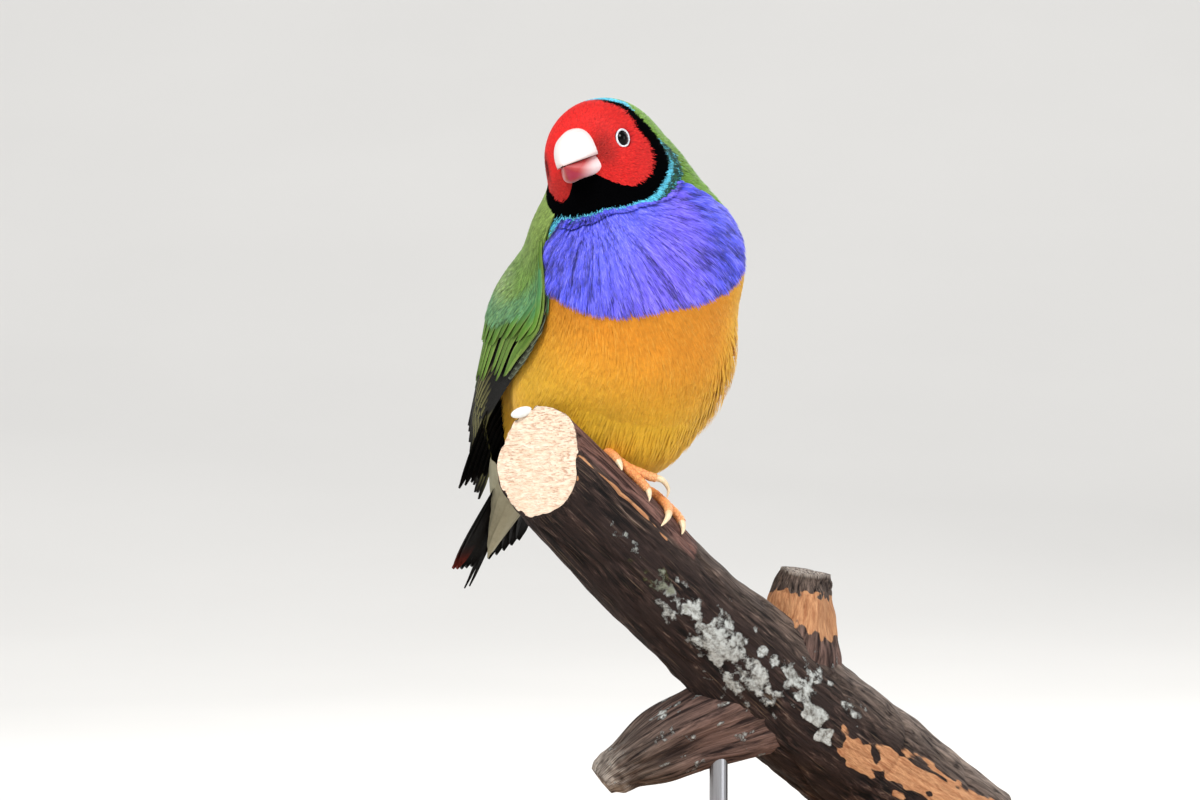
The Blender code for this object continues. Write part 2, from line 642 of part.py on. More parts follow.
def build_tail():
    first = body_ring(0.0, shift=-GAP)
    aim, left, dorsal = tail_axes()
    turn = np.linspace(0.0, 2 * math.pi, RING_SIDES, endpoint=False)[:, None]
    front, side, _ = ring_frame(0.0)
    rings = [first]
    for share in (0.25, 0.5, 0.75, 1.0):
        centre = SPINE[0] + aim * (GAP + 13.0 * share)
        wide, deep = 8.6 - 3.6 * share, 6.6 - 5.4 * share
        flat = centre + np.cos(turn) * -dorsal * deep + np.sin(turn) * left * wide
        mix = min(1.0, share * 2)
        rings.append((1 - mix) * (first + aim * 13.0 * share) + mix * flat)
    tail = loft("tail", rings, "black", parts)
    vanes = []
    pairs = len(RECTRIX_LENGTHS)
    for hand in (1, -1):
        for i, length in enumerate(RECTRIX_LENGTHS):
            inward = i / (pairs - 1)
            lean = hand * RECTRIX_SPREAD * (1 - inward) + hand * 0.6
            start = hand * (3.4 * (1 - inward) + 0.5)
            half = RECTRIX_HALF if i < pairs - 1 else 1.4
            vanes.append(tail_vane("rectrix_%d_%d" % (hand, i), start, lean, length, half, 0.12 * i, 0.5))
        for i in range(3):
            vanes.append(tail_vane("upper_%d_%d" % (hand, i), hand * (0.8 + 1.8 * i), hand * 3.0 * i,
                                   15.0 - 1.5 * i, 2.0, 3.6 - 0.3 * i, 0.6, droop=2.0))
            vanes.append(tail_vane("under_%d_%d" % (hand, i), hand * (0.7 + 1.7 * i), hand * 2.5 * i,
                                   19.0 - 2.0 * i, 2.0, -3.0 + 0.3 * i, 0.6, droop=-1.8))
    return combine(tail, vanes, "UNION", "MANIFOLD")


# Perch and stand

def bark(along, turn):
    """Low ridges that run along the branch and swell here and there."""
    ridges = 0.22 * np.sin(5 * turn + 0.6 * np.sin(along * 0.11))
    return ridges + 0.16 * np.sin(3 * turn + along * 0.07 + 1.3) + 0.2 * np.sin(along * 0.19 + 2 * turn)


def perch_frame(share):
    centre = smooth_line(np.array(PERCH_LINE)[:, :3], share)
    ahead = smooth_line(np.array(PERCH_LINE)[:, :3], min(1.0, share + 0.01))
    behind = smooth_line(np.array(PERCH_LINE)[:, :3], max(0.0, share - 0.01))
    run = unit(ahead - behind)
    ridge = unit(np.cross(run, (0.0, 1.0, 0.0)))
    ridge *= np.sign(ridge[2])
    return centre, run, ridge, unit(np.cross(ridge, run))


def perch_ring(share, grow=0.0):
    centre, run, ridge, toward = perch_frame(share)
    toward *= -np.sign(toward[1])
    radius = float(smooth_line(np.array(PERCH_LINE)[:, 3:], share)[0])
    turn = np.linspace(0.0, 2 * math.pi, PERCH_SIDES, endpoint=False)
    reach = radius + grow + bark(share * 130.0, turn)
    return centre + reach[:, None] * (np.cos(turn)[:, None] * ridge + np.sin(turn)[:, None] * toward)


def cut_facing():
    azimuth, rise = np.radians((CUT_AZIMUTH, CUT_RISE))
    level = math.cos(rise)
    return np.array((math.sin(azimuth) * level, -math.cos(azimuth) * level, math.sin(rise)))


def stub_ring(line, share, grow, sides=14):
    centre = smooth_line(np.array(line)[:, :3], share)
    run = unit(smooth_line(np.array(line)[:, :3], min(1.0, share + 0.02))
               - smooth_line(np.array(line)[:, :3], max(0.0, share - 0.02)))
    radius = float(smooth_line(np.array(line)[:, 3:], share)[0]) + grow
    one = unit(np.cross(run, (0.0, 1.0, 0.0)))
    other = np.cross(run, one)
    turn = np.linspace(0.0, 2 * math.pi, sides, endpoint=False)
    reach = radius * (1 + 0.07 * np.sin(3 * turn + 4 * share) + 0.05 * np.sin(5 * turn - 3 * share))
    return centre + reach[:, None] * (np.cos(turn)[:, None] * one + np.sin(turn)[:, None] * other)


def perch_body(name, grow=0.0, colour=None, collection=None, stubs=True):
    facing = cut_facing()
    _, run, _, _ = perch_frame(0.2)
    first = perch_ring(1.0 / 6.0, grow)
    slide = ((CUT_CENTRE + facing * grow - first) @ facing) / (run @ facing)
    rings = [first + run * slide[:, None]]
    shares = np.linspace(0.30, 1.0, PERCH_RINGS)
    ends = perch_ring(shares[0], grow)
    rings += [rings[0] * 0.55 + ends * 0.45]
    rings += [perch_ring(s, grow) for s in shares]
    perch = loft(name, rings, colour, collection)
    if stubs:
        pieces = [loft(name + "_stub", [stub_ring(line, s, grow) for s in np.linspace(0.0, 1.0, 7)])
                  for line in (UPPER_STUB, LOWER_STUB)]
        combine(perch, pieces, "UNION")
    return perch


def build_stand():
    bpy.ops.mesh.primitive_cube_add(size=1.0)
    base = bpy.context.object
    base.name = base.data.name = "stand_base"
    for vert in base.data.vertices:
        x, y, z = vert.co
        vert.co = (x * BASE_SIZE[0] * MM, y * BASE_SIZE[1] * MM, (z + 0.5) * BASE_SIZE[2] * MM)
    shape = bmesh.new()
    shape.from_mesh(base.data)
    upright = [e for e in shape.edges if abs(e.verts[0].co.z - e.verts[1].co.z) > 1e-6]
    bmesh.ops.bevel(shape, geom=upright, offset=BASE_CORNER * MM, segments=6, profile=0.5, affect="EDGES")
    rim = [e for e in shape.edges if min(v.co.z for v in e.verts) > (BASE_SIZE[2] - 0.01) * MM]
    bmesh.ops.bevel(shape, geom=rim, offset=BASE_EDGE * MM, segments=2, profile=0.5, affect="EDGES")
    shape.to_mesh(base.data)
    shape.free()
    base.data.materials.append(material("base_wood"))
    for owner in list(base.users_collection):
        owner.objects.unlink(base)
    parts.objects.link(base)
    for i, (x, y, top) in enumerate(RODS):
        foot = BASE_SIZE[2] + GAP
        bpy.ops.mesh.primitive_cylinder_add(vertices=20, radius=ROD_RADIUS * MM, depth=(top - foot) * MM,
                                            location=(x * MM, y * MM, (top + foot) / 2 * MM))
        rod = bpy.context.object
        rod.name = rod.data.name = "stand_rod_%d" % (i + 1)
        rod.data.materials.append(material("rod_steel"))
        for owner in list(rod.users_collection):
            owner.objects.unlink(rod)
        parts.objects.link(rod)
        combine(rod, [perch_body("rod_seat", GAP)], "DIFFERENCE")


# Legs and feet

def on_perch(distance, angle, height):
    """Point above the perch's bark, at a distance down it from the cut and an angle round it."""
    share = 1.0 / 6.0 + distance / 140.0
    centre, _, ridge, toward = perch_frame(share)
    toward = toward * -np.sign(toward[1])
    radius = float(smooth_line(np.array(PERCH_LINE)[:, 3:], share)[0])
    turn = math.radians(angle)
    reach = radius + float(bark(share * 130.0, np.array(turn))) + height
    return centre + reach * (math.cos(turn) * ridge + math.sin(turn) * toward)


def toe_line(hand, toe):
    distance, angle = FEET[hand]
    last = len(TOE_RADII) - 1
    points, radii = [], []
    for share in np.linspace(0.0, 1.0, 9):
        along, around = smooth_line(np.array(TOES[hand][toe]), share)
        radius = float(np.interp(share * last, range(last + 1), TOE_RADII))
        arch = 0.5 * math.sin(math.pi * min(1.0, share * 1.15)) if share < 0.87 else 0.0
        points.append(on_perch(distance + along, angle + around, radius + GAP + 0.15 + arch))
        radii.append(radius)
    return points, radii


def hub_place(hand):
    distance, angle = FEET[hand]
    return on_perch(distance, angle, HUB_RADIUS + GAP + 0.1)


def foot_pieces(hand, grow=0.0):
    pieces = [ball("hub_" + hand, hub_place(hand), HUB_RADIUS + grow, sides=12, rings=8)]
    for toe in range(4):
        points, radii = toe_line(hand, toe)
        pieces.append(tube("toe_%s_%d" % (hand, toe), points, [r + grow for r in radii]))
    return pieces


def build_foot(hand):
    pieces = foot_pieces(hand)
    foot = pieces[0]
    foot.name = foot.data.name = "foot_" + hand
    for owner in list(foot.users_collection):
        owner.objects.unlink(foot)
    parts.objects.link(foot)
    combine(foot, pieces[1:], "UNION")
    foot.data.materials.clear()
    foot.data.materials.append(material("toe"))
    return foot


def leg_piece(name, hand, grow=0.0, colour=None, collection=None):
    hub = hub_place(hand)
    run = unit(LEG_RISE)
    shares = (0.0, 0.3, 0.6, 1.0)
    radii = (TARSUS_RADIUS, TARSUS_RADIUS, 0.5 * (TARSUS_RADIUS + THIGH_RADIUS), THIGH_RADIUS)
    points = [hub + LEG_RISE * s for s in shares]
    points[-1] = points[-1] + run * grow
    return tube(name, points, [r + grow for r in radii], colour, collection, resolution=2)


def build_leg(hand):
    """Tarsus with the foot of the thigh, which sits in a pocket of the belly."""
    leg = leg_piece("leg_" + hand, hand, 0.0, "toe", parts)
    return combine(leg, foot_pieces(hand, GAP), "DIFFERENCE")


def build():
    start_scene()
    build_head()
    build_neck()
    torso = build_torso()
    build_bill()
    for name, side in (("wing_left", 1), ("wing_right", -1)):
        build_wing(name, side)
    build_tail()
    perch_body("perch", colour="bark", collection=parts)
    build_stand()
    for hand in FEET:
        build_foot(hand)
        build_leg(hand)
    clear = [perch_body("belly_seat", GAP, stubs=False)]
    for hand in FEET:
        clear += foot_pieces(hand, GAP)
        clear.append(leg_piece("leg_seat", hand, GAP))
    combine(torso, clear, "DIFFERENCE")
    for thing in parts.objects:
        shade(thing)


build()
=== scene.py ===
import math

import bpy
import mathutils.kdtree
import numpy as np
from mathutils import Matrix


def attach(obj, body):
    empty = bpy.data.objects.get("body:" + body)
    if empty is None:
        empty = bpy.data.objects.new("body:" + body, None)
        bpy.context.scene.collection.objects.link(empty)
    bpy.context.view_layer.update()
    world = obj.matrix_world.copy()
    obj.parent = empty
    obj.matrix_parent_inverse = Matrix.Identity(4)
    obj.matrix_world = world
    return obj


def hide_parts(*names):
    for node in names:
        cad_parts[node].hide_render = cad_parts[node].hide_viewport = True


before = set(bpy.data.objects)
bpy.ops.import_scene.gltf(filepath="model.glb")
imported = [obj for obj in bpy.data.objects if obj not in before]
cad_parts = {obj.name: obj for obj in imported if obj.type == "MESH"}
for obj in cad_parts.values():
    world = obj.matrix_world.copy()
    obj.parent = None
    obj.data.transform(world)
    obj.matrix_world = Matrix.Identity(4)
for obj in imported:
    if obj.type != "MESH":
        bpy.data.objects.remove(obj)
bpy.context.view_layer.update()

# Gouldian finch on a cut branch. Lengths are in millimetres until a mesh is made
mm = 0.001
rng = np.random.default_rng(11)
up = np.array((0.0, 0.0, 1.0))


# Screen colour 0 to 255 made linear
def rgb(red, green, blue):
    c = np.array((red, green, blue)) / 255.0
    return np.where(c <= 0.04045, c / 12.92, ((c + 0.055) / 1.055) ** 2.4)


def fullTurn(count):
    return np.linspace(0.0, 2 * math.pi, count, endpoint=False)


def mixed(a, b, share):
    return a * (1 - share) + b * share


def unit(v):
    v = np.asarray(v, float)
    return v / (np.linalg.norm(v, axis=-1, keepdims=True) + 1e-12)


# Camera, level with the bird's middle
view = {"place": (-26.6, -1600.0, 106.0), "pixel": 0.19, "pixelsWide": 1200, "sensor": 36.0}
camData = bpy.data.cameras.new("camera")
camData.sensor_width = view["sensor"]
camData.lens = view["sensor"] * -view["place"][1] / (view["pixel"] * view["pixelsWide"])
cam = bpy.data.objects.new("camera", camData)
bpy.context.scene.collection.objects.link(cam)
cam.location = [c * mm for c in view["place"]]
cam.rotation_euler = (math.pi / 2, 0.0, 0.0)
bpy.context.scene.camera = cam
bpy.context.scene.view_settings.view_transform = "Standard"
print("stage: camera")


# Body shape, the same masses as the solids
pose = {
    "bodyOrigin": (-18.8, -5, 133.7), "heading": 33, "pitch": 52, "roll": 8,
    "headOrigin": (-26.6, -12, 152.6), "turn": 25, "dip": 10, "headRoll": 19,
}
bodyOrigin = np.array(pose["bodyOrigin"])
headOrigin = np.array(pose["headOrigin"])


def bodyFrame():
    heading, pitch, roll = np.radians((pose["heading"], pose["pitch"], pose["roll"]))
    ahead = np.array((math.sin(heading), -math.cos(heading), 0.0))
    headward = math.cos(pitch) * ahead + math.sin(pitch) * up
    levelLeft = np.array((math.cos(heading), math.sin(heading), 0.0))
    levelVentral = math.sin(pitch) * ahead - math.cos(pitch) * up
    left = math.cos(roll) * levelLeft - math.sin(roll) * levelVentral
    ventral = math.cos(roll) * levelVentral + math.sin(roll) * levelLeft
    return np.stack((ventral, left, headward))


def headFrame():
    turn, dip, roll = np.radians((pose["turn"], pose["dip"], pose["headRoll"]))
    forward = np.array((-math.sin(turn) * math.cos(dip), -math.cos(turn) * math.cos(dip), -math.sin(dip)))
    levelLeft = np.array((math.cos(turn), -math.sin(turn), 0.0))
    left = math.cos(roll) * levelLeft + math.sin(roll) * np.cross(forward, levelLeft)
    return np.stack((forward, left, np.cross(forward, left)))


body = bodyFrame()   # ventral, left, headward
head = headFrame()   # forward, left, up


def inBody(place):
    return bodyOrigin + np.asarray(place, float) @ body


def inHead(place):
    return headOrigin + np.asarray(place, float) @ head


plumage = {
    "masses": (("head", (0.6, 0, 0), (9.3, 9.5, 9)), ("head", (-3.2, 0, -0.3), (8.6, 8.2, 8.4)),
               ("head", (-0.5, 1.6, -6.4), (8.6, 8.4, 7)), ("body", (-10.2, 2.2, 6.2), (9.5, 9.5, 11.5)),
               ("body", (0, 0, 0), (20, 20, 15.5)), ("body", (5, 0, -17), (20, 21, 20)),
               ("body", (8, 0, -29), (15, 20, 15)), ("body", (-3.5, -1, -43.5), (9.5, 12.5, 12)),
               ("body", (-9, 0, -22), (11, 16, 21))),
    "blend": 2.4,
    "spineBody": ((-5.5, -0.8, -52), (2, -0.5, -36), (2, 0, -18), (0, 0, -2)),
    "spineHead": ((-2.2, 4.4, -12.4), (-1.6, 1.8, -5.6), (0, 0, 0)),
    "turnToHead": (0, 0, 0.05, 0.2, 0.6, 0.88, 1),
}


# Rough signed distance to the outside of the plumage
def plumageDistance(points):
    points = np.asarray(points, float)
    total = np.zeros(points.shape[:-1])
    for kind, centre, half in plumage["masses"]:
        axes, place = (head, inHead(centre)) if kind == "head" else (body, inBody(centre))
        local = (points - place) @ axes.T
        scaled = np.linalg.norm(local / half, axis=-1)
        slope = np.linalg.norm(local / np.square(half), axis=-1) + 1e-9
        total += np.exp(-np.clip(scaled * (scaled - 1.0) / slope, -60.0, 200.0) / plumage["blend"])
    return -plumage["blend"] * np.log(total + 1e-300)


# How far rays from inside run before they leave the plumage
def cast(centres, directions, grow=0.0):
    near = np.zeros(directions.shape[:-1])
    away = np.full(directions.shape[:-1], 45.0)
    for _ in range(22):
        middle = (near + away) / 2
        inside = plumageDistance(centres + directions * middle[..., None]) < grow
        near = np.where(inside, middle, near)
        away = np.where(inside, away, middle)
    return (near + away) / 2


# Direction straight out of the plumage
def outwardOf(points, step=0.06):
    slope = [plumageDistance(points + e * step) - plumageDistance(points - e * step) for e in np.eye(3)]
    return unit(np.stack(slope, -1))


# Curve through points, at shares of its length
def smoothLine(points, share):
    points = np.asarray(points, float)
    last = len(points) - 1
    along = np.clip(np.asarray(share, float), 0.0, 1.0) * last
    start = np.clip(along.astype(int), 0, last - 1)
    f = (along - start)[..., None]
    p = np.concatenate(([2 * points[0] - points[1]], points, [2 * points[-1] - points[-2]]))
    a, b, c, d = p[start], p[start + 1], p[start + 2], p[start + 3]
    return 0.5 * (2 * b + (c - a) * f + (2 * a - 5 * b + 4 * c - d) * f**2 + (3 * b - a - 3 * c + d) * f**3)


spine = np.array([inBody(p) for p in plumage["spineBody"]] + [inHead(p) for p in plumage["spineHead"]])


def plumageRing(share, columns, tilt=0.0, grow=0.0):
    turned = float(smoothLine(np.array(plumage["turnToHead"])[:, None], share)[0])
    headward = unit(mixed(body[2], head[2], turned))
    front = mixed(body[0], head[0], turned)
    front = unit(front - headward * (front @ headward))
    left = np.cross(headward, front)
    turn = fullTurn(columns)[:, None]
    flat = np.cos(turn) * front + np.sin(turn) * left
    direction = math.cos(tilt) * flat + math.sin(tilt) * headward
    centre = smoothLine(spine, share)
    return centre + direction * cast(centre, direction, grow)[:, None]


# Rings from the tail's root up the body, then over the crown to its top
def plumageGrid(rows, crownRows, columns):
    rings = [plumageRing(s, columns) for s in np.linspace(0.0, 1.0, rows)]
    tilts = np.radians(np.linspace(0.0, 89.0, crownRows + 1)[1:])
    rings += [plumageRing(1.0, columns, t) for t in tilts]
    return np.array(rings)


# Meshes
def paint(mesh, name, colour):
    layer = mesh.color_attributes.new(name=name, type="FLOAT_COLOR", domain="POINT")
    full = np.ones((len(mesh.vertices), 4))
    full[:, :3] = colour
    layer.data.foreach_set("color", full.astype(np.float32).ravel())


# Mesh from arrays, with colour at the points and any uv maps as {name: uv at the points}
def addPiece(name, points, faces, corners=None, tint=None, patches=None):
    mesh = bpy.data.meshes.new(name)
    faces = np.asarray(faces, np.int32)
    sides = faces.shape[1]
    mesh.vertices.add(len(points))
    mesh.vertices.foreach_set("co", (np.asarray(points, float) * mm).ravel())
    mesh.loops.add(faces.size)
    mesh.loops.foreach_set("vertex_index", faces.ravel())
    mesh.polygons.add(len(faces))
    mesh.polygons.foreach_set("loop_start", np.arange(0, faces.size, sides, dtype=np.int32))
    for label, places in (patches or {}).items():
        layer = mesh.uv_layers.new(name=label)
        flat = places[faces.ravel()] if corners is None else corners
        layer.data.foreach_set("uv", np.ascontiguousarray(flat, np.float32).ravel())
    if tint is not None:
        paint(mesh, "tint", tint)
    mesh.update(calc_edges=True)
    mesh.validate()
    mesh.polygons.foreach_set("use_smooth", np.ones(len(mesh.polygons), bool))
    piece = bpy.data.objects.new(name, mesh)
    bpy.context.scene.collection.objects.link(piece)
    return piece


# Quads over a grid of points, round and round when closed, and from end to start when looped
def gridFaces(rows, columns, closed=True, looped=False):
    wide = columns if closed else columns - 1
    i, j = np.meshgrid(np.arange(rows if looped else rows - 1), np.arange(wide), indexing="ij")
    here, above, k = i * columns, (i + 1) % rows * columns, (j + 1) % columns
    return np.stack((here + j, here + k, above + k, above + j), -1).reshape(-1, 4)


# Both ends of a row of rings drawn to their middles
def capped(rings):
    rings = [np.asarray(r, float) for r in rings]
    first, last = rings[0].mean(0), rings[-1].mean(0)
    return [first + (rings[0] - first) * 0.02] + rings + [last + (rings[-1] - last) * 0.02]


# Closed skin over rings of like count, with colours given ring by ring
def loftPiece(name, rings, tints=None, **extra):
    grid = np.array(capped(rings))
    if tints is not None:
        extra["tint"] = np.concatenate((tints[:1], tints, tints[-1:])).reshape(-1, 3)
    return addPiece(name, grid.reshape(-1, 3), gridFaces(*grid.shape[:2]), **extra)


# Many grids gathered for one mesh
def newStore():
    return {"points": [], "faces": [], "tints": [], "barb": [], "patch": []}


def addGrid(store, grid, tint, closed=True):
    start = sum(len(p) for p in store["points"])
    store["points"].append(grid.reshape(-1, 3))
    store["faces"].append(gridFaces(*grid.shape[:2], closed) + start)
    store["tints"].append(tint.reshape(-1, 3))


def storePiece(name, store):
    points, faces, tints = (np.concatenate(store[k]) for k in ("points", "faces", "tints"))
    patches = {uv: np.concatenate(store[k]) for uv, k in (("OFBake", "patch"), ("barb", "barb")) if store[k]}
    return addPiece(name, points, faces, tint=tints, patches=patches)


# Gives a piece its material and the body it rides on, and hides the solids of the nodes that it stands for
def finish(piece, material, slot, *nodes):
    for one in material if isinstance(material, (list, tuple)) else (material,):
        piece.data.materials.append(one)
    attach(piece, "root")
    if nodes:
        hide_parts(*nodes)
    return piece


# Materials
class Shade:
    # One material with short ways to add its nodes
    def __init__(self, name, **values):
        self.material = bpy.data.materials.new(name)
        self.material.use_nodes = True
        self.tree = self.material.node_tree
        self.shader = self.tree.nodes["Principled BSDF"]
        self.fill(self.shader, values)

    def put(self, socket, value):
        if isinstance(value, bpy.types.NodeSocket):
            self.tree.links.new(value, socket)
        else:
            socket.default_value = (*value, 1.0) if socket.type == "RGBA" else value

    def fill(self, made, values):
        for label, value in values.items():
            self.put(made.inputs[label.replace("_", " ")], value)

    def node(self, kind, settings=None, **values):
        made = self.tree.nodes.new("ShaderNode" + kind)
        for label, value in (settings or {}).items():
            setattr(made, label, value)
        self.fill(made, values)
        return made

    def maths(self, operation, *values):
        made = self.node("Math", {"operation": operation})
        for socket, value in zip(made.inputs, values):
            self.put(socket, value)
        return made.outputs[0]

    def times(self, a, b):
        return self.maths("MULTIPLY", a, b)

    def plus(self, a, b):
        return self.maths("ADD", a, b)

    def minus(self, a, b):
        return self.maths("SUBTRACT", a, b)

    def mix(self, factor, a, b):
        made = self.node("Mix", {"data_type": "RGBA"})
        for index, value in ((0, factor), (6, a), (7, b)):
            self.put(made.inputs[index], value)
        return made.outputs[2]

    def ramp(self, value, *stops):
        made = self.node("ValToRGB")
        self.put(made.inputs[0], value)
        points = made.color_ramp.elements
        while len(points) < len(stops):
            points.new(0.5)
        for point, (place, colour) in zip(points, stops):
            point.position = place
            point.color = (*np.broadcast_to(colour, 3), 1.0)
        return made.outputs[0]

    def tint(self, name="tint"):
        return self.node("Attribute", {"attribute_name": name}).outputs["Color"]

    def place(self):
        return self.node("TexCoord").outputs["Object"]

    def flat(self, name):
        return self.node("UVMap", {"uv_map": name}).outputs[0]

    def drawn(self, place, scale, turn=0.0):
        return self.node("Mapping", Vector=place, Rotation=(0.0, turn, 0.0), Scale=scale).outputs[0]

    def noise(self, place, scale, detail=2.0, roughness=0.5, distortion=0.0):
        return self.node("TexNoise", Vector=place, Scale=scale, Detail=detail, Roughness=roughness,
                         Distortion=distortion).outputs[0]

    # fine brightness changes between barbs, for skin, tufts and vanes
    def barbs(self, scale, amount):
        place = self.place()
        fine, broad = self.noise(place, scale), self.noise(place, 160.0, 1.0)
        grain = self.plus(self.times(fine, 0.65), self.times(broad, 0.35))
        gain = self.plus(self.times(self.times(self.minus(grain, 0.5), amount), 2.0), 1.0)
        scaled = self.node("VectorMath", {"operation": "SCALE"}, Vector=self.tint(), Scale=gain)
        return scaled.outputs[0], grain

    # streaks of grain along an axis, for sawn wood, bare wood and the base
    def wood(self, place, light, dark, scale):
        streak, fleck = self.noise(place, scale, 5.0, 0.62, 0.4), self.noise(place, scale * 3.7, 3.0)
        grain = self.plus(self.times(streak, 0.7), self.times(fleck, 0.3))
        return self.mix(self.ramp(grain, (0.36, 0.0), (0.62, 1.0)), dark, light), grain

    def done(self, colour, height=None, strength=1.0, distance=0.0001, rough=None):
        self.put(self.shader.inputs["Base Color"], colour)
        if height is not None:
            relief = self.node("Bump", Strength=strength, Distance=distance, Height=height)
            self.put(self.shader.inputs["Normal"], relief.outputs[0])
        if rough is not None:
            self.put(self.shader.inputs["Roughness"], rough)
        return self.material


def featherMaterial(name, scale, amount, roughness, sheen=0.0, bump=0.25, specular=0.3):
    shade = Shade(name, Roughness=roughness, Sheen_Weight=sheen, Sheen_Roughness=0.4,
                  Specular_IOR_Level=specular)
    colour, grain = shade.barbs(scale, amount)
    return shade.done(colour, grain, bump, 0.0002)


coatMaterial = featherMaterial("coat", 1500.0, 0.22, 0.62, sheen=0.12)
blackMaterial = featherMaterial("coatBlack", 1500.0, 0.3, 0.8, bump=0.1, specular=0.02)
skinMaterial = featherMaterial("skin", 1900.0, 0.35, 0.8, bump=0.6, specular=0.1)

# Markings. Angles on the head run round its forward axis, 0 over the crown and + to the bird's left,
# and away from that axis. On the body they run round its long axis, 0 at the front
marks = {
    "mask": ((-150, 0), (-144, 10), (-142, 38), (-140, 44), (-134, 50), (-126, 56), (-117, 62),
             (-108, 69), (-95, 75), (-82, 79), (-58, 86), (-34, 83), (-12, 91), (12, 91), (34, 83),
             (56, 84), (70, 80), (82, 77), (99, 82), (111, 81), (122, 75), (130, 68), (138, 57),
             (141, 42), (144, 10), (150, 0)),
    "black": ((-180, 46), (-166, 45), (-148, 48), (-140, 51), (-134, 56), (-126, 64), (-117, 73),
              (-108, 84), (-92, 97), (-70, 97), (-49, 97), (-32, 91.5), (-12, 91), (12, 91), (32, 91.5),
              (49, 97), (70, 96), (92, 100), (108, 104), (118, 103), (127, 92), (135, 81), (142, 73),
              (148, 63), (158, 54.5), (166, 49), (173, 46.5), (180, 46)),
    "blueWide": ((-180, 1.8), (-140, 1.8), (-130, 5), (-115, 12), (-100, 8), (-75, 0), (-58, 5),
                 (-40, 14), (-20, 18), (28, 19), (46, 13), (56, 3), (64, 0), (96, 0), (103, 7),
                 (111, 17), (120, 24), (130, 24), (138, 13), (144, 5), (152, 2), (180, 1.8)),
    "bibLow": ((-110, -3), (-103, -3.5), (-87, -6.6), (-73, -5.6), (-60, -4.4), (-46, -2.6), (-23, 2),
               (10, 4.6), (26, 5.2), (50, 6), (80, 8)),
    "bibSides": (-104, 78), "flank": (78, 8), "rump": (-36, 150), "vent": (-51, 110), "paintedShadeBelow": -38,
    # how far from the head's middle the scarlet, black and turquoise can lie
    "reach": (16, 17, 23),
    "bellySide": ((-60, 112), (-50, 112), (-44, 116), (-38, 122), (-28, 112), (-16, 107), (10, 106)),
    "colours": {
        "scarlet": rgb(214, 14, 18), "black": rgb(1, 1, 2), "turquoise": rgb(64, 176, 210),
        "bib": rgb(62, 72, 212), "amber": rgb(222, 138, 20), "yellow": rgb(224, 172, 38),
        "pale": rgb(206, 180, 84), "green": rgb(104, 150, 46), "rump": rgb(70, 160, 170),
        "white": rgb(206, 204, 186),
    },
}
billRoot = inHead((8.0, 0.0, 0.0))


eye = {
    "place": (6, 8.2, 0.9), "facing": (0.48, 0.88, -0.02), "radius": 1.8, "sunk": 0.98, "slim": 0.8,
    "lidRadius": 1.7, "lidThick": 0.17, "beads": 34, "lidSides": 14, "rows": 40, "columns": 48,
    # how far each eye stands out, by side
    "out": {1: 0.28, -1: -0.9},
}


def eyeSeat(side):
    facing = unit(np.array(eye["facing"]) * (1, side, 1)) @ head
    return inHead(np.array(eye["place"]) * (1, side, 1)) + facing * eye["out"][side], facing


# Smooth noise between -1 and 1 over two numbers, repeating round u when wrap is set
def lattice(u, v, seed, wrap=0):
    table = np.random.default_rng(seed).uniform(-1.0, 1.0, (64, 64))
    i, j = np.floor(u).astype(int), np.floor(v).astype(int)
    fu, fv = u - i, v - j
    fu, fv = fu * fu * (3 - 2 * fu), fv * fv * (3 - 2 * fv)
    period = wrap or 64
    a, b = i % period, (i + 1) % period
    c, d = j % 64, (j + 1) % 64
    return mixed(mixed(table[a, c], table[b, c], fu), mixed(table[a, d], table[b, d], fu), fv)


# Noise in narrow streaks that fan out from the throat, between about -1 and 1
def streaksAt(points):
    away = points - throatMiddle
    far = np.linalg.norm(away, axis=-1)
    fan = np.arctan2(away @ body[1], -(away @ body[2]))
    tilt = np.arctan2(away @ body[0], np.hypot(away @ body[1], away @ body[2]))
    wide = lattice(fan * 34 + 200, far / 7.0 + tilt * 14 + 20, 31)
    fine = lattice(fan * 70 + 400, far / 6.0 + tilt * 26 + 20, 32)
    return np.clip(0.8 * wide + 0.9 * fine, -1.0, 1.0)


def headAngles(points):
    local = (points - headOrigin) @ head.T
    reach = np.linalg.norm(local, axis=-1)
    return np.degrees(np.arctan2(local[..., 1], local[..., 2])), np.degrees(
        np.arccos(np.clip(local[..., 0] / (reach + 1e-9), -1, 1))), reach


def bodyAngles(points):
    local = (points - bodyOrigin) @ body.T
    return np.degrees(np.arctan2(local[..., 1], local[..., 0])), local[..., 2]


def curveAt(pairs, x):
    pairs = np.array(pairs, float)
    return np.interp(x, pairs[:, 0], pairs[:, 1])


def blend(low, high, x):
    t = np.clip((x - low) / (high - low), 0.0, 1.0)
    return t * t * (3 - 2 * t)


# A rounded hump over x
def swellAt(x, middle, half):
    return np.exp(-(((x - middle) / half) ** 2))


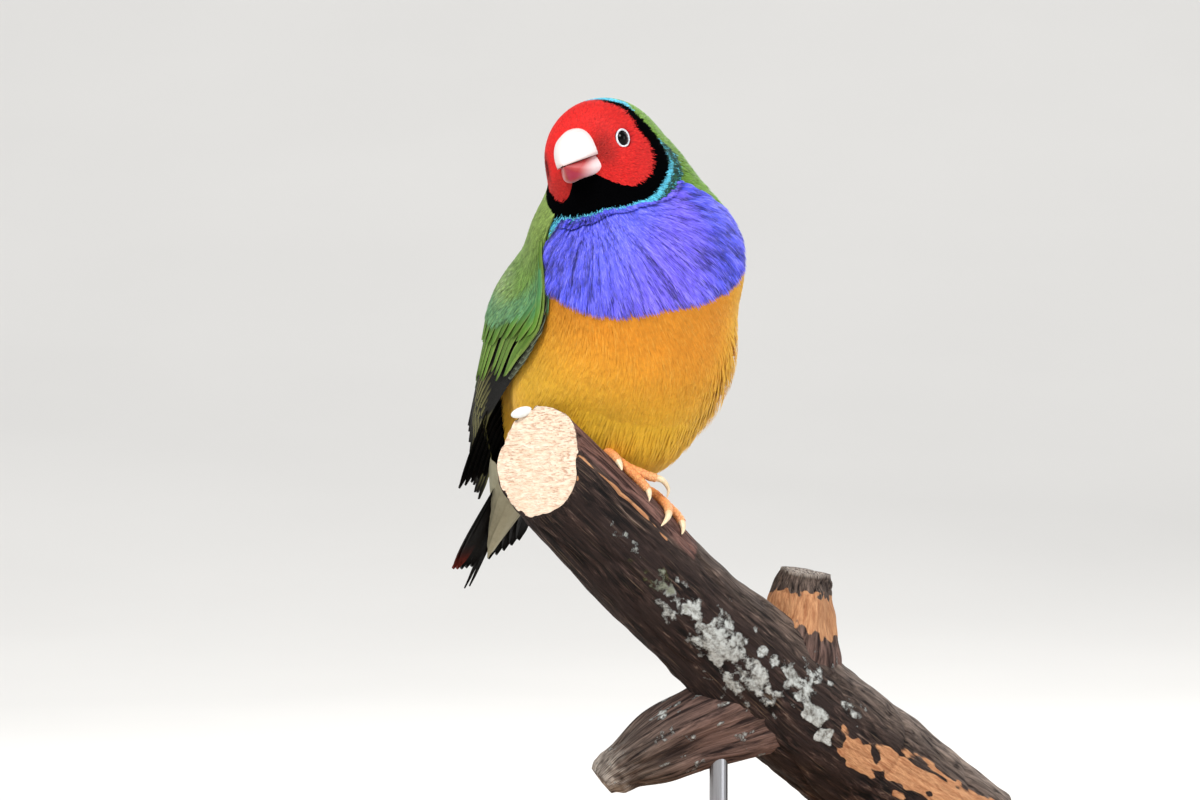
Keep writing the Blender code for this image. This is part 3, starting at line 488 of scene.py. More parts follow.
# Which marking each point belongs to, its edges frayed by a few tenths
def zoneAt(points, loose=0.0):
    fray = rng.normal(0.0, 1.0, len(points)) * loose
    around, off, reach = headAngles(points)
    # the throat's lower edge is crisp
    off = off + fray * 1.6 * (1 - 0.7 * blend(128.0, 142.0, np.abs(around)))
    turn, along = bodyAngles(points)
    black = curveAt(marks["black"], around)
    blue = black + curveAt(marks["blueWide"], around)
    zone = np.full(len(points), 5)
    side = curveAt(marks["bellySide"], along) + fray * 1.2
    belly = (along + fray * 0.3 < curveAt(marks["bibLow"], turn)) & (np.abs(turn) < side)
    flank, rump, vent = (marks[k] for k in ("flank", "rump", "vent"))
    zone[belly | ((turn > flank[0]) & (turn < side) & (along < flank[1]))] = 4
    # painted shade: the body's sides below the wings' ends are made black
    zone[(along < marks["paintedShadeBelow"]) & (np.abs(turn) > side)] = 1
    zone[(along < rump[0]) & (np.abs(turn) > rump[1])] = 6
    zone[(along < vent[0]) & (np.abs(turn) <= vent[1])] = 7
    low, high = marks["bibSides"]
    zone[(turn > low) & (turn < high) & (along + fray * 0.15 > curveAt(marks["bibLow"], turn))] = 3
    mask = curveAt(marks["mask"], around)
    for index, edge in ((2, blue), (1, black), (0, mask)):
        zone[(off < edge) & (reach < marks["reach"][index])] = index
    return zone


# Base colour of a marking at each point, with the slow changes across it
def colourAt(points, zone):
    turn, along = (a[:, None] for a in bodyAngles(points))
    around, off, _ = (a[:, None] for a in headAngles(points))
    c = marks["colours"]
    names = ("scarlet", "black", "turquoise", "bib", "amber", "green", "rump", "white")
    colour = np.array([c[k] for k in names])[zone]
    zone = zone[:, None]
    # the belly yellows downwards, with painted light towards the bird's left and painted shadow beside the
    # right wing
    lowest = blend(-28.0, -44.0, along) * blend(-70.0, -20.0, turn)
    amber = mixed(mixed(c["amber"], c["yellow"], blend(-1.0, -20.0, along)), c["pale"], lowest)
    # painted light: lighter and yellower towards the bird's left
    amber = mixed(amber, rgb(238, 184, 46), blend(0.0, 40.0, turn) * 0.9)
    # painted shadow beside the right wing
    shade = 1.0 - 0.3 * blend(-55.0, -95.0, turn) * blend(-30.0, -10.0, along)
    colour = np.where(zone == 4, amber * shade, colour)
    # the bib is most violet in the middle and darkens to its lower rim
    violet = mixed(c["bib"], rgb(90, 72, 208), blend(45.0, 5.0, np.abs(turn + 30.0)))
    rimmed = blend(5.0, 0.0, along - curveAt(marks["bibLow"], turn))
    colour = np.where(zone == 3, violet * (1 - 0.4 * rimmed), colour)
    # painted shade on the mask: darker on the right cheek, further back, between bill and near eye and round
    # the sunken far eye, with a painted highlight over the crown
    farEye = np.linalg.norm(points - eyeSeat(-1)[0], axis=-1)[:, None]
    shade = 0.4 * blend(-85.0, -115.0, around) + 0.12 * blend(30.0, 75.0, off)
    # painted highlight over the crown, painted shadow round the far eye
    shade = shade - 0.15 * blend(60.0, 10.0, np.abs(around)) + 0.55 * blend(3.6, 2.2, farEye)
    # painted shade between the bill and the near eye
    shade = shade + 0.5 * blend(46.0, 28.0, off) * blend(40.0, 75.0, around) * blend(128.0, 100.0, around)
    colour = np.where(zone == 0, np.clip(c["scarlet"] * (1.0 - shade), 0.0, 1.0), colour)
    # dark green feathers are strewn through the sides of the turquoise
    patchy = (zone == 2) & (np.abs(around) > 88) & (np.abs(around) < 144)
    shady = blend(-1.0, 7.0, off - curveAt(marks["black"], around))
    shady = shady + 0.7 * blend(126.0, 112.0, np.abs(around))
    dark = rng.random(shady.shape) < np.minimum(0.9, shady)
    mossy = np.where(rng.random(shady.shape) < 0.4, rgb(40, 92, 62), rgb(10, 54, 54))
    colour = np.where(patchy & dark, mossy, colour)
    furrow = lattice(turn / 7.0 + 40, along / 16.0 + 40, 35)
    furrow = furrow + 0.5 * lattice(turn / 2.2 + 40, along / 9.0 + 40, 36)
    return colour * np.where(zone == 4, 1 + 0.05 * furrow, 1.0)


# Small feathers over the skin. Each piece has its own zones, count and the stretch of body it covers.
# Zones are 0 scarlet, 1 black, 2 turquoise, 3 bib, 4 belly, 5 green, 6 rump, 7 white
coat = {
    # distance from the bill's root
    "reach": (4, 8, 12, 17, 22, 30, 60), "length": (0.8, 1.3, 1.7, 2.4, 5, 6.4, 7),
    "width": (0.12, 0.17, 0.2, 0.21, 0.21, 0.36, 0.45), "rise": (0.08, 0.12, 0.16, 0.22, 0.5, 0.35, 0.3),
    "patch": 0.003,
    # the skin's share of each zone's colour, dark partly as the feathers' own darker bases and partly as
    # painted shade between the feathers
    "under": (0.55, 0.8, 0.4, 0.16, 0.8, 0.45, 0.5, 0.6), "long": (1, 0.7, 0.42, 1, 1, 0.75, 0.8, 1),
    # darkness at the feathers' roots, partly their own darker bases and partly painted shade
    "root": (0.55, 0.6, 0.5, 0.16, 0.9, 0.45, 0.5, 0.7),
    "lively": (0.12, 0.2, 0.25, 0.2, 0.03, 0.2, 0.2, 0.06),
    # share of feathers with full pale tips, partly painted glints
    "glint": (0.2, 0.1, 0.5, 0.35, 0.14, 0.2, 0.3, 0.3), "yaw": (9, 6, 8, 3, 3, 9, 8, 5),
    "spin": (12, 6, 14, 8, 2.5, 14, 14, 4), "lift": (1, 0.7, 0.8, 1, 0.3, 1, 1, 0.6),
    "pieces": {
        "coat_face": {"zones": (0,), "count": 39000}, "coat_black": {"zones": (1,), "count": 30000},
        "coat_turquoise": {"zones": (2,), "count": 22000},
        "coat_bib_upper": {"zones": (3,), "count": 39000, "turn": (-180, -28)},
        "coat_bib_side": {"zones": (3,), "count": 39000, "turn": (-28, 180)},
        "coat_belly_front": {"zones": (4,), "count": 39000, "along": (-28, 20)},
        "coat_belly_low": {"zones": (4, 7), "count": 36000, "along": (-70, -22)},
        "coat_back": {"zones": (5, 6), "count": 39000},
    },
    "tips": ((rgb(244, 66, 50), 0.55), (rgb(9, 9, 13), 0.3), (rgb(122, 226, 246), 0.8),
             (rgb(150, 142, 252), 0.62), (rgb(250, 204, 96), 0.3), (rgb(158, 184, 92), 0.5),
             (rgb(110, 200, 200), 0.5), (rgb(236, 234, 220), 0.6)),
}
throatMiddle = inHead((9.5, 0.5, -5.5))

# Skin under the feathers, in place of the head, neck and torso
skin = {"depth": {"head": 0.45, "body": 0.8}, "rows": 150, "crownRows": 40, "columns": 144}


def atReach(far, name):
    return np.interp(far, coat["reach"], coat[name])


def coatDepth(points):
    far = np.linalg.norm(points - billRoot, axis=-1)
    return skin["depth"]["head"] + (skin["depth"]["body"] - skin["depth"]["head"]) * blend(14.0, 24.0, far)


# How far the lower breast and the flank beside the wing's end are drawn in
def trimAt(points):
    turn, along = bodyAngles(points)
    left = 1.4 * swellAt(turn, 32.0, 24.0) * blend(-18.0, -26.0, along) * blend(-46.0, -38.0, along)
    right = 2.4 * swellAt(turn, -112.0, 30.0) * blend(-30.0, -40.0, along) * blend(-58.0, -48.0, along)
    return left + right


# How far feathers bridge a hollow across the way they lie
def fillAt(points, flow):
    fill = np.zeros(points.shape[:-1])
    for step, share in ((2.5, 0.7), (5.0, 0.5)):
        around = plumageDistance(points + flow * step) + plumageDistance(points - flow * step)
        fill += share * np.clip(-around / 2, 0.0, 3.0)
    return np.minimum(fill, 2.4)


outer = plumageGrid(skin["rows"], skin["crownRows"], skin["columns"])
outerFlat = outer.reshape(-1, 3)
outerOut = outwardOf(outerFlat)


def buildSkin():
    points = outerFlat - outerOut * (coatDepth(outerFlat) + trimAt(outerFlat))[:, None]
    rows, columns = outer.shape[:2]
    faces = gridFaces(rows, columns)
    tail = points[:columns].mean(0)
    points = np.concatenate((points, tail + (points[:columns] - tail) * 0.03))
    capStart = rows * columns
    j = np.arange(columns)
    k = (j + 1) % columns
    faces = np.concatenate((faces, np.stack((capStart + j, capStart + k, k, j), -1)))
    zone = zoneAt(points)
    under = np.array(coat["under"])[zone][:, None]
    # the skin is a darker copy of the plumage, partly painted shade under the feathers
    tint = colourAt(points, zone) * under
    u, v = faces % columns / columns, faces // columns / (rows + 1)
    wraps = (faces % columns == 0) & (faces % columns != faces[:, :1] % columns)
    u = np.where(wraps, 1.0, u)
    corners = np.stack((u, v), -1).reshape(-1, 2)
    piece = addPiece("skin", points, faces, corners=corners, tint=tint, patches={"OFBake": points[:, :2]})
    return finish(piece, skinMaterial, "plumage_amber", "head", "neck", "torso")


buildSkin()
print("stage: skin")


# Roots spread evenly over the plumage where feathers would end within some zones
def placeRoots(count, allowed, stretch):
    rows, columns = outer.shape[:2]
    here = outer[:-1]
    beside = np.roll(outer, -1, axis=1)[:-1]
    above = outer[1:]
    area = np.linalg.norm(np.cross(beside - here, above - here), axis=-1)
    centre = ((beside + above) / 2).reshape(-1, 3)
    along = bodyAngles(centre)[1]
    far = np.linalg.norm(centre - billRoot, axis=-1)
    length = atReach(far, "length")
    flow = lieOf(centre, outwardOf(centre), 0.0)
    keep = np.zeros(len(centre), bool)
    for share in (0.0, 0.4, 0.8):
        keep |= np.isin(zoneAt(centre + flow * (length * share)[:, None]), allowed)
    # a margin of neighbouring cells keeps frayed edges whole
    grid = keep.reshape(rows - 1, columns)
    for _ in range(2):
        grid = grid | np.roll(grid, 1, 1) | np.roll(grid, -1, 1) | np.roll(grid, 1, 0) | np.roll(grid, -1, 0)
    keep = grid.ravel() & (along > stretch[0]) & (along < stretch[1])
    size = length * atReach(far, "width")
    weight = area.ravel() * keep / size
    pick = rng.choice(weight.size, count, p=weight / weight.sum())
    i, j = np.divmod(pick, columns)
    fi, fj = rng.random((2, len(pick), 1))
    nextJ = (j + 1) % columns
    low, high = (mixed(outer[k, j], outer[k, nextJ], fj) for k in (i, i + 1))
    place = mixed(low, high, fi)
    return place, np.concatenate(((j[:, None] + fj) / columns, (i[:, None] + fi) / (rows + 1)), 1)


# Direction that the feathers lie in: away from the bill, out from the throat, then down the body
def lieOf(place, outward, yaw):
    away = place - billRoot
    far = np.linalg.norm(away, axis=-1)
    share = blend(16.0, 40.0, far)[:, None]
    flow = mixed(unit(away), -body[2], share)
    turn, along = bodyAngles(place)
    low, high = marks["bibSides"]
    fan = blend(13.0, 17.0, far) * blend(-10.0, -3.0, along) * blend(low - 12, low + 6, turn)
    fan = (fan * blend(high + 12, high - 6, turn))[:, None]
    flow = mixed(flow, unit(place - throatMiddle), fan)
    flow = unit(flow - outward * np.sum(flow * outward, -1, keepdims=True))
    turn = np.radians(rng.normal(0.0, 1.0, len(place)) * yaw)[:, None]
    return unit(flow * np.cos(turn) + np.cross(outward, flow) * np.sin(turn))


tuftSteps = np.array((0.0, 0.34, 0.68, 1.0))


# Narrow blades of three pairs of points and a tip, in one mesh
def tuftMesh(name, middles, across, widths, tints, patch, material, slot):
    count = len(middles)
    pairs = middles.shape[1] - 1
    sides = across[:, None] * widths[..., None] / 2
    left, right = middles[:, :-1] - sides, middles[:, :-1] + sides
    points = np.concatenate((np.stack((left, right), 2).reshape(count, -1, 3), middles[:, -1:]), 1)
    pattern = []
    for k in range(pairs - 1):
        a = 2 * k
        pattern += [(a, a + 1, a + 3), (a, a + 3, a + 2)]
    pattern.append((2 * pairs - 2, 2 * pairs - 1, 2 * pairs))
    size = 2 * pairs + 1
    faces = (np.arange(count)[:, None, None] * size + np.array(pattern)[None]).reshape(-1, 3)
    tint = np.repeat(tints[:, :-1], 2, axis=1)
    tint = np.concatenate((tint, tints[:, -1:]), 1).reshape(-1, 3)
    t = np.linspace(0.0, 1.0, pairs + 1)
    local = np.zeros((size, 2))
    local[:-1, 0] = np.tile((-0.5, 0.5), pairs)
    local[:-1, 1] = np.repeat(t[:-1], 2) - 0.5
    local[-1, 1] = 0.5
    uv = (patch[:, None] + local[None] * coat["patch"]).reshape(-1, 2)
    piece = addPiece(name, points.reshape(-1, 3), faces, tint=tint, patches={"OFBake": np.clip(uv, 0.0, 1.0)})
    return finish(piece, material, slot)


# Dark at the root, full colour along the blade and paler tips, brighter on some. The dark roots are partly
# painted shade between feathers, the bright pale tips partly painted glints
def tuftTints(base, zone, streaks=0.0):
    count = len(base)
    tip = np.array([t[0] for t in coat["tips"]])[zone]
    share = np.array([t[1] for t in coat["tips"]])[zone]
    root, spread, glint = (np.array(coat[k])[zone] for k in ("root", "lively", "glint"))
    # the dark green feathers among the turquoise keep their own colour
    share = np.where((zone == 2) & (base.max(-1) < 0.2), 0.0, share)
    lively = np.clip(1 + rng.normal(0.0, 1.0, count) * spread + streaks, 0.3, 1.7)[:, None, None]
    # some tufts get their full pale tip, partly as painted glints
    bright = np.where(rng.random(count) < glint, 1.0, 0.35)
    t = np.linspace(0.0, 1.0, 4)[None, :, None]
    mix = blend(0.3, 1.0, t) * (share * bright)[:, None, None]
    root = root[:, None, None]
    colour = base[:, None] * (root + (1 - root) * blend(0.0, 0.6, t))
    return np.clip(mixed(colour, tip[:, None], mix) * lively, 0.0, 1.0)


# Shortens feathers that would reach an eye and drops those rooted on one
def keepOffEyes(place, flow, length):
    clear = eye["lidRadius"] + eye["lidThick"]
    grown = np.ones(len(place), bool)
    for side in (1, -1):
        seat, facing = eyeSeat(side)
        away = place - seat
        away = away - np.sum(away * facing, -1, keepdims=True) * facing
        across = unit(np.cross(facing, up))
        away = away + (away @ across)[:, None] * across * (1 / eye["slim"] - 1)
        lie = flow + (flow @ across)[:, None] * across * (1 / eye["slim"] - 1)
        near = np.linalg.norm(place - seat, axis=-1) < 8.0
        rootFar = np.linalg.norm(away, axis=-1)
        grown &= ~(near & (rootFar < clear))
        tip = away + lie * length[:, None]
        tipFar = np.linalg.norm(tip, axis=-1)
        meets = near & (tipFar < clear + 0.1) & (rootFar >= clear)
        share = np.clip((rootFar - clear) / np.maximum(rootFar - tipFar, 0.2), 0.12, 1.0)
        length = np.where(meets, length * share, length)
    return grown, length


# Outward directions and the fill of hollows, smoothed over the plumage so that feathers cross creases
def calmField():
    rows, columns = outer.shape[:2]

    def averaged(values, times):
        for _ in range(times):
            ends = np.concatenate((values[:1], values, values[-1:]))
            values = (np.roll(values, 1, 1) + np.roll(values, -1, 1) + ends[2:] + ends[:-2] + 2 * values) / 6
        return values

    out = unit(averaged(outerOut.reshape(rows, columns, 3), 40)).reshape(-1, 3)
    fill = fillAt(outerFlat, lieOf(outerFlat, out, 0.0))
    tree = mathutils.kdtree.KDTree(len(outerFlat))
    for index, place in enumerate(outerFlat):
        tree.insert(place, index)
    tree.balance()
    return out, averaged(fill.reshape(rows, columns), 16).ravel(), tree


calmOut, calmFill, calmTree = calmField()


def nearest(points):
    flat = points.reshape(-1, 3)
    return np.array([calmTree.find(one)[1] for one in flat]).reshape(points.shape[:-1])


def buildCoat(name, looks):
    count = looks["count"]
    place, patch = placeRoots(int(count * 1.9), looks["zones"], looks.get("along", (-99.0, 99.0)))
    calm = looks["zones"][0] in (1, 2, 3, 4)
    outward = calmOut[nearest(place)] if calm else outwardOf(place)
    far = np.linalg.norm(place - billRoot, axis=-1)
    root = zoneAt(place)
    length = atReach(far, "length") * np.array(coat["long"])[root]
    length = length * rng.uniform(0.8, 1.15, len(place))
    flow = lieOf(place, outward, np.array(coat["yaw"])[root])
    zone = zoneAt(place + flow * (length * 0.85)[:, None], loose=1.0)
    turn, along = bodyAngles(place)
    low, high = looks.get("turn", (-181.0, 181.0))
    grown, length = keepOffEyes(place, flow, length)
    good = np.flatnonzero(np.isin(zone, looks["zones"]) & (turn > low) & (turn <= high) & grown)[:count]
    place, patch, outward, far, length, flow, zone, turn, along = (
        a[good] for a in (place, patch, outward, far, length, flow, zone, turn, along))
    width = atReach(far, "width") * rng.uniform(0.8, 1.25, len(place))
    rise = atReach(far, "rise") * rng.uniform(0.2, 1.3, len(place))
    # the breast's left edge is loose, and its tips stand out
    loose = blend(5.0, 40.0, turn) * blend(4.0, -14.0, along) * (zone == 4)
    wild = (rng.random(len(place)) < 0.08) * loose
    # the bib swells over the belly and the wing
    rim = (zone == 3) * np.maximum(blend(6.0, 0.0, along - curveAt(marks["bibLow"], turn)),
                                   blend(-78.0, -96.0, turn))
    rise = rise * np.array(coat["lift"])[zone] + 1.3 * wild + 0.6 * rim
    rise = rise + (zone == 3) * 0.28 * streaksAt(place)
    # feathers hang from the lower breast over the legs
    skirt = (zone == 4) * blend(-17.0, -24.0, along) * blend(-44.0, -34.0, along)
    skirt = skirt * blend(42.0, 26.0, np.abs(turn + 12.0))
    rise = rise + skirt * rng.uniform(0.9, 1.7, len(place))
    length = length * (1 + 0.4 * skirt)
    deep = coatDepth(place)
    middles = place[:, None] + flow[:, None] * (length[:, None] * tuftSteps)[..., None]
    height = -deep[:, None] * np.array((1.1, 0.35, 0.1, 0.0))
    height = height + rise[:, None] * np.array((0.0, 0.5, 0.85, 1.0)) - 0.12 - trimAt(place)[:, None]
    lift = outward[:, None]
    if calm:
        near = nearest(middles)
        lift = calmOut[near]
        height = height + calmFill[near] * np.array((0.6, 0.9, 1.0, 1.0))
    for _ in range(3):
        off = plumageDistance(middles) - height
        middles = middles - lift * off[..., None]
    across = np.cross(outward, flow)
    spin = np.radians(rng.normal(0.0, 1.0, len(place)) * np.array(coat["spin"])[zone])[:, None]
    across = across * np.cos(spin) + outward * np.sin(spin)
    widths = width[:, None] * np.array((0.7, 1.0, 0.75))
    # strands of the bib lie together in streaks that fan out from the throat
    tints = tuftTints(colourAt(place, zone), zone, streaks=(zone == 3) * 0.7 * streaksAt(place))
    # only the tips of the thin turquoise line show
    line = (zone == 2) & (np.abs(headAngles(place)[0]) > 142)
    tints[line, :2] = marks["colours"]["black"]
    slots = {0: "plumage_scarlet", 1: "plumage_black", 5: "plumage_green"}
    slot = slots.get(looks["zones"][0], "plumage_amber")
    material = blackMaterial if looks["zones"] == (1,) else coatMaterial
    return tuftMesh(name, middles, across, widths, tints, patch, material, slot)


for pieceName, pieceLooks in coat["pieces"].items():
    buildCoat(pieceName, pieceLooks)
print("stage: small feathers")


# Bill
bill = {
    "upper": ((6.5, 4.5, 5.9), (8.5, 4.5, 5.9), (10.5, 4.2, 5.5), (12.5, 3.4, 4.5), (14.5, 2.1, 2.8),
              (15.9, 1, 1.3), (16.8, 0.2, 0.25)),
    "lower": ((6.5, 5.1, -3.9), (8.5, 4.9, -4), (10.5, 4.2, -3.9), (12.4, 3.1, -3.4), (14, 2, -2.3),
              (15.3, 1, -1.2), (16.1, 0.25, -0.4)),
    "mouth": (-0.35, -0.1), "rows": 40, "sides": 40, "gap": 0.09, "square": {"upper": 0.84, "lower": 0.6},
    "nostril": (9.6, 1.9, 0.55),
    "colours": {
        "upper": rgb(240, 236, 233), "base": rgb(236, 216, 214), "lowBase": rgb(238, 222, 222),
        "red": rgb(186, 30, 36), "rim": rgb(198, 140, 134),
    },
}


def buildBill(kind):
    table = np.array(bill[kind])
    shares = np.linspace(0.0, 1.0, bill["rows"])
    first, last = table[0, 0], table[-1, 0]
    sides = bill["sides"]
    turns = np.linspace(0.0, math.pi, sides)
    rings, tints = [], []
    c = bill["colours"]
    sign = 1 if kind == "upper" else -1
    for share in shares:
        forward, half, height = smoothLine(table, share)
        mouth = np.interp(forward, (first, last), bill["mouth"])
        edge = mouth + sign * bill["gap"] / 2
        wide = np.sign(np.cos(turns)) * np.abs(np.cos(turns)) ** bill["square"][kind]
        tall = np.sin(turns) ** bill["square"][kind]
        if kind == "lower":
            # the throat's feathers crowd up under the middle
            tall = tall * (1 - 0.2 * (1 - np.abs(wide)) * blend(14.0, 9.0, forward))
            wide = wide * (0.87 + 0.13 * np.minimum(1.0, tall * 1.6))
        ring = np.stack((np.full(sides, forward), half * wide, edge + (height - edge) * tall), -1)
        if kind == "upper":
            top = tall > 0.5
            ring[:, 2] += 0.22 * swellAt(ring[:, 1], 0.0, 0.9) * np.sin(math.pi * min(1.0, share * 1.1)) * top
            nostril = swellAt(forward, bill["nostril"][0], 0.55)
            ring[:, 2] -= 0.5 * nostril * swellAt(np.abs(ring[:, 1]), bill["nostril"][1], 0.45) * top
        floor = np.linspace(1.0, -1.0, 12)[1:-1]
        closing = np.stack((np.full(10, forward), -half * floor, np.full(10, edge + sign * 0.12)), -1)
        rings.append(inHead(np.concatenate((ring, closing))))
        near = blend(7.5, 10.5, forward)
        if kind == "upper":
            rim = np.concatenate((swellAt(ring[:, 2], edge, 0.5), np.ones(10)))[:, None] * 0.55
            tint = mixed(mixed(c["base"], c["upper"], near), c["rim"], rim)
        else:
            # red from the tip back along the mouth, pale at the lower outer corners
            across = np.concatenate((ring[:, 1], closing[:, 1]))
            depth = np.concatenate((ring[:, 2], closing[:, 2]))
            away = np.sqrt(((16.0 - forward) / 1.35) ** 2 + ((across + 0.6) / 0.9) ** 2 + (depth / 1.15) ** 2)
            red = blend(7.0, 2.8, away) + 0.5 * swellAt(depth, edge, 0.9) * blend(7.0, 12.0, forward)
            tint = mixed(c["lowBase"], c["red"], np.clip(red, 0.0, 1.0)[:, None])
        tints.append(tint)
    slot = "bill_white" if kind == "upper" else "bill_red"
    return finish(loftPiece("bill_horn_" + kind, rings, tints), hornMaterial, slot, "bill_" + kind)


def hornFinish():
    shade = Shade("horn", Coat_Weight=0.15, Coat_Roughness=0.25)
    streak = shade.noise(shade.place(), 700.0, 4.0, 0.6)
    mottled = shade.mix(shade.times(streak, 0.22), shade.tint(), rgb(200, 150, 140))
    return shade.done(mottled, streak, 0.2, 0.0001, shade.plus(shade.times(streak, 0.2), 0.24))


hornMaterial = hornFinish()
buildBill("upper")
buildBill("lower")
print("stage: bill")


# Eyes and lids
def buildEye(name, side):
    seat, facing = eyeSeat(side)
    # the seat is moved out to the plumage, as the solids have it
    across = unit(np.cross(facing, up))
    other = np.cross(facing, across)
    across = across * eye["slim"]
    centre = seat - facing * eye["sunk"]
    rings = []
    for lat in np.linspace(-89.0, 89.0, eye["rows"]):
        high, wide = math.sin(math.radians(lat)), math.cos(math.radians(lat))
        turn = fullTurn(eye["columns"])[:, None]
        swell = 1.0 + 0.05 * max(0.0, high) ** 6
        ring = wide * (np.cos(turn) * across + np.sin(turn) * other) + high * swell * facing
        rings.append(centre + eye["radius"] * ring)
    ball = loftPiece("eyeball_" + name, rings)
    finish(ball, eyeMaterial, "eye_black", "eye_" + name)
    # lid: a beaded ring of bare skin that dips into the face feathers
    points = []
    for i in range(eye["beads"] * 4):
        turn = 2 * math.pi * i / (eye["beads"] * 4)
        out = math.cos(turn) * across + math.sin(turn) * other
        bead = 0.5 + 0.5 * math.cos(eye["beads"] * turn)
        slit = 1.0 - 0.05 * abs(math.sin(turn))
        thick = eye["lidThick"] * (0.85 + 0.3 * bead)
        for lap in fullTurn(eye["lidSides"]):
            spread = eye["lidRadius"] * slit + thick * math.cos(lap) * 1.15
            points.append(seat + facing * (0.22 + thick * math.sin(lap) * 1.3) + out * spread)
    faces = gridFaces(eye["beads"] * 4, eye["lidSides"], looped=True)
    return finish(addPiece("eyelid_" + name, points, faces), lidMaterial, "plumage_scarlet")


def eyeFinish():
    shade = Shade("eyeBall", Roughness=0.08, Specular_IOR_Level=0.16)
    veins = shade.noise(shade.place(), 900.0, 3.0)
    return shade.done(shade.ramp(veins, (0.3, rgb(1, 1, 2)), (0.8, rgb(6, 3, 3))))


def lidFinish():
    shade = Shade("lidSkin", Roughness=0.5)
    grain = shade.noise(shade.place(), 2600.0, 3.0)
    return shade.done(shade.ramp(grain, (0.3, rgb(176, 184, 196)), (0.6, rgb(240, 242, 246))), grain, 0.5)


eyeMaterial = eyeFinish()
lidMaterial = lidFinish()
buildEye("left", 1)
buildEye("right", -1)
print("stage: eyes")


# Wings. Places are along the body and across the wing, 0 at its lower edge and 1 at its upper edge
wing = {
    "free": -24, "taper": 0.16, "stations": (-66, -62, -52, -40, -27, -15, -8, -4, 4),
    "lowEdge": (131, 129.5, 123.5, 111, 89, 79, 83, 99, 115),
    "highEdge": (147, 150, 159, 167, 169, 162, 154, 148, 142), "top": 5, "swell": 2, "tilt": 6,
    "tipTilt": -20,
    "band": ((-0.05, -5.5), (0.03, -7), (0.23, -13), (0.39, -19.5), (0.7, -24), (1, -27)),
    "greenTips": ((0, -26.5), (0.1, -31), (0.35, -38), (0.6, -43), (0.85, -47), (1, -49)),
    "darkTips": ((-0.12, -64), (0, -64.5), (0.14, -62.5), (0.3, -57), (0.46, -50)),
    "tiers": {
        "primary": dict(count=11, across=(0.05, 0.46), tips="darkTips", drop=0, length=50,
                        half=(2.3, 2.3), height=(1, 1.6), point=0.8, sink=(-4.2, 0), slant=0),
        "inner": dict(count=10, across=(0.02, 0.02), tips=(-12, -28), drop=0, length=17, half=(1.2, 1.2),
                      height=(1.7, 1.9), point=0.4, look="secondary", slant=0.6),
        "secondary": dict(count=18, across=(0.03, 0.97), tips="greenTips", drop=0, length=27,
                          half=(1.05, 1.2), height=(1.7, 2.2), point=0.5, ragged=3.6, slant=0.6),
        "greater": dict(count=16, across=(0.03, 0.95), tips="band", drop=-9, length=13, half=(1.1, 1.3),
                        height=(2.2, 2.6), point=0.5, slant=0.3),
        "edge": dict(count=12, across=(0, -0.02), tips=(-11, -28), drop=0, length=4, half=(0.85, 0.85),
                     height=(1.5, 1.3), point=0.7, slant=0),
    },
    "small": 21000,
    "colours": {
        "green": rgb(96, 140, 52), "yellowGreen": rgb(156, 172, 92), "band": rgb(66, 148, 122),
        "grey": rgb(120, 126, 100), "dark": rgb(14, 12, 10), "brown": rgb(40, 30, 22),
        "olive": rgb(140, 136, 84), "sheen": rgb(172, 184, 156),
    },
}
edgeStations = np.array(wing["stations"])


# Radius of the wing's underside round the body, worked out once on a grid
def reachTable():
    angles = np.arange(55.0, 190.0, 3.0)
    alongs = np.arange(-72.0, 12.0, 2.0)
    table = {}
    for side in (1, -1):
        angle, along = np.meshgrid(angles, alongs, indexing="ij")
        turn = np.radians(angle)[..., None]
        direction = np.cos(turn) * body[0] + side * np.sin(turn) * body[1]
        skinReach = cast(bodyOrigin + along[..., None] * body[2], direction)
        rim = cast(bodyOrigin + np.full_like(along, wing["free"])[..., None] * body[2], direction)
        straight = rim - wing["taper"] * (wing["free"] - along)
        table[side] = np.where(along < wing["free"], np.maximum(skinReach, straight), skinReach)
    return angles, alongs, table


wingAngles, wingAlongs, wingReach = reachTable()


def wingPoint(side, angle, along, height):
    a = np.clip((angle - wingAngles[0]) / 3.0, 0, len(wingAngles) - 1.001)
    b = np.clip((along - wingAlongs[0]) / 2.0, 0, len(wingAlongs) - 1.001)
    i, j = a.astype(int), b.astype(int)
    fa, fb = a - i, b - j
    t = wingReach[side]
    reach = (t[i, j] * (1 - fa) * (1 - fb) + t[i + 1, j] * fa * (1 - fb) + t[i, j + 1] * (1 - fa) * fb
             + t[i + 1, j + 1] * fa * fb) + height
    turn = np.radians(angle)[..., None]
    return (bodyOrigin + reach[..., None] * (np.cos(turn) * body[0] + side * np.sin(turn) * body[1])
            + along[..., None] * body[2])


def wingAngle(across, along):
    # the mean of four places rounds the outline's corners
    low, high = (sum(np.interp(along + d, edgeStations, wing[k]) for d in (-4.5, -1.5, 1.5, 4.5)) / 4
                 for k in ("lowEdge", "highEdge"))
    return low + across * (high - low)


vaneRows = 14


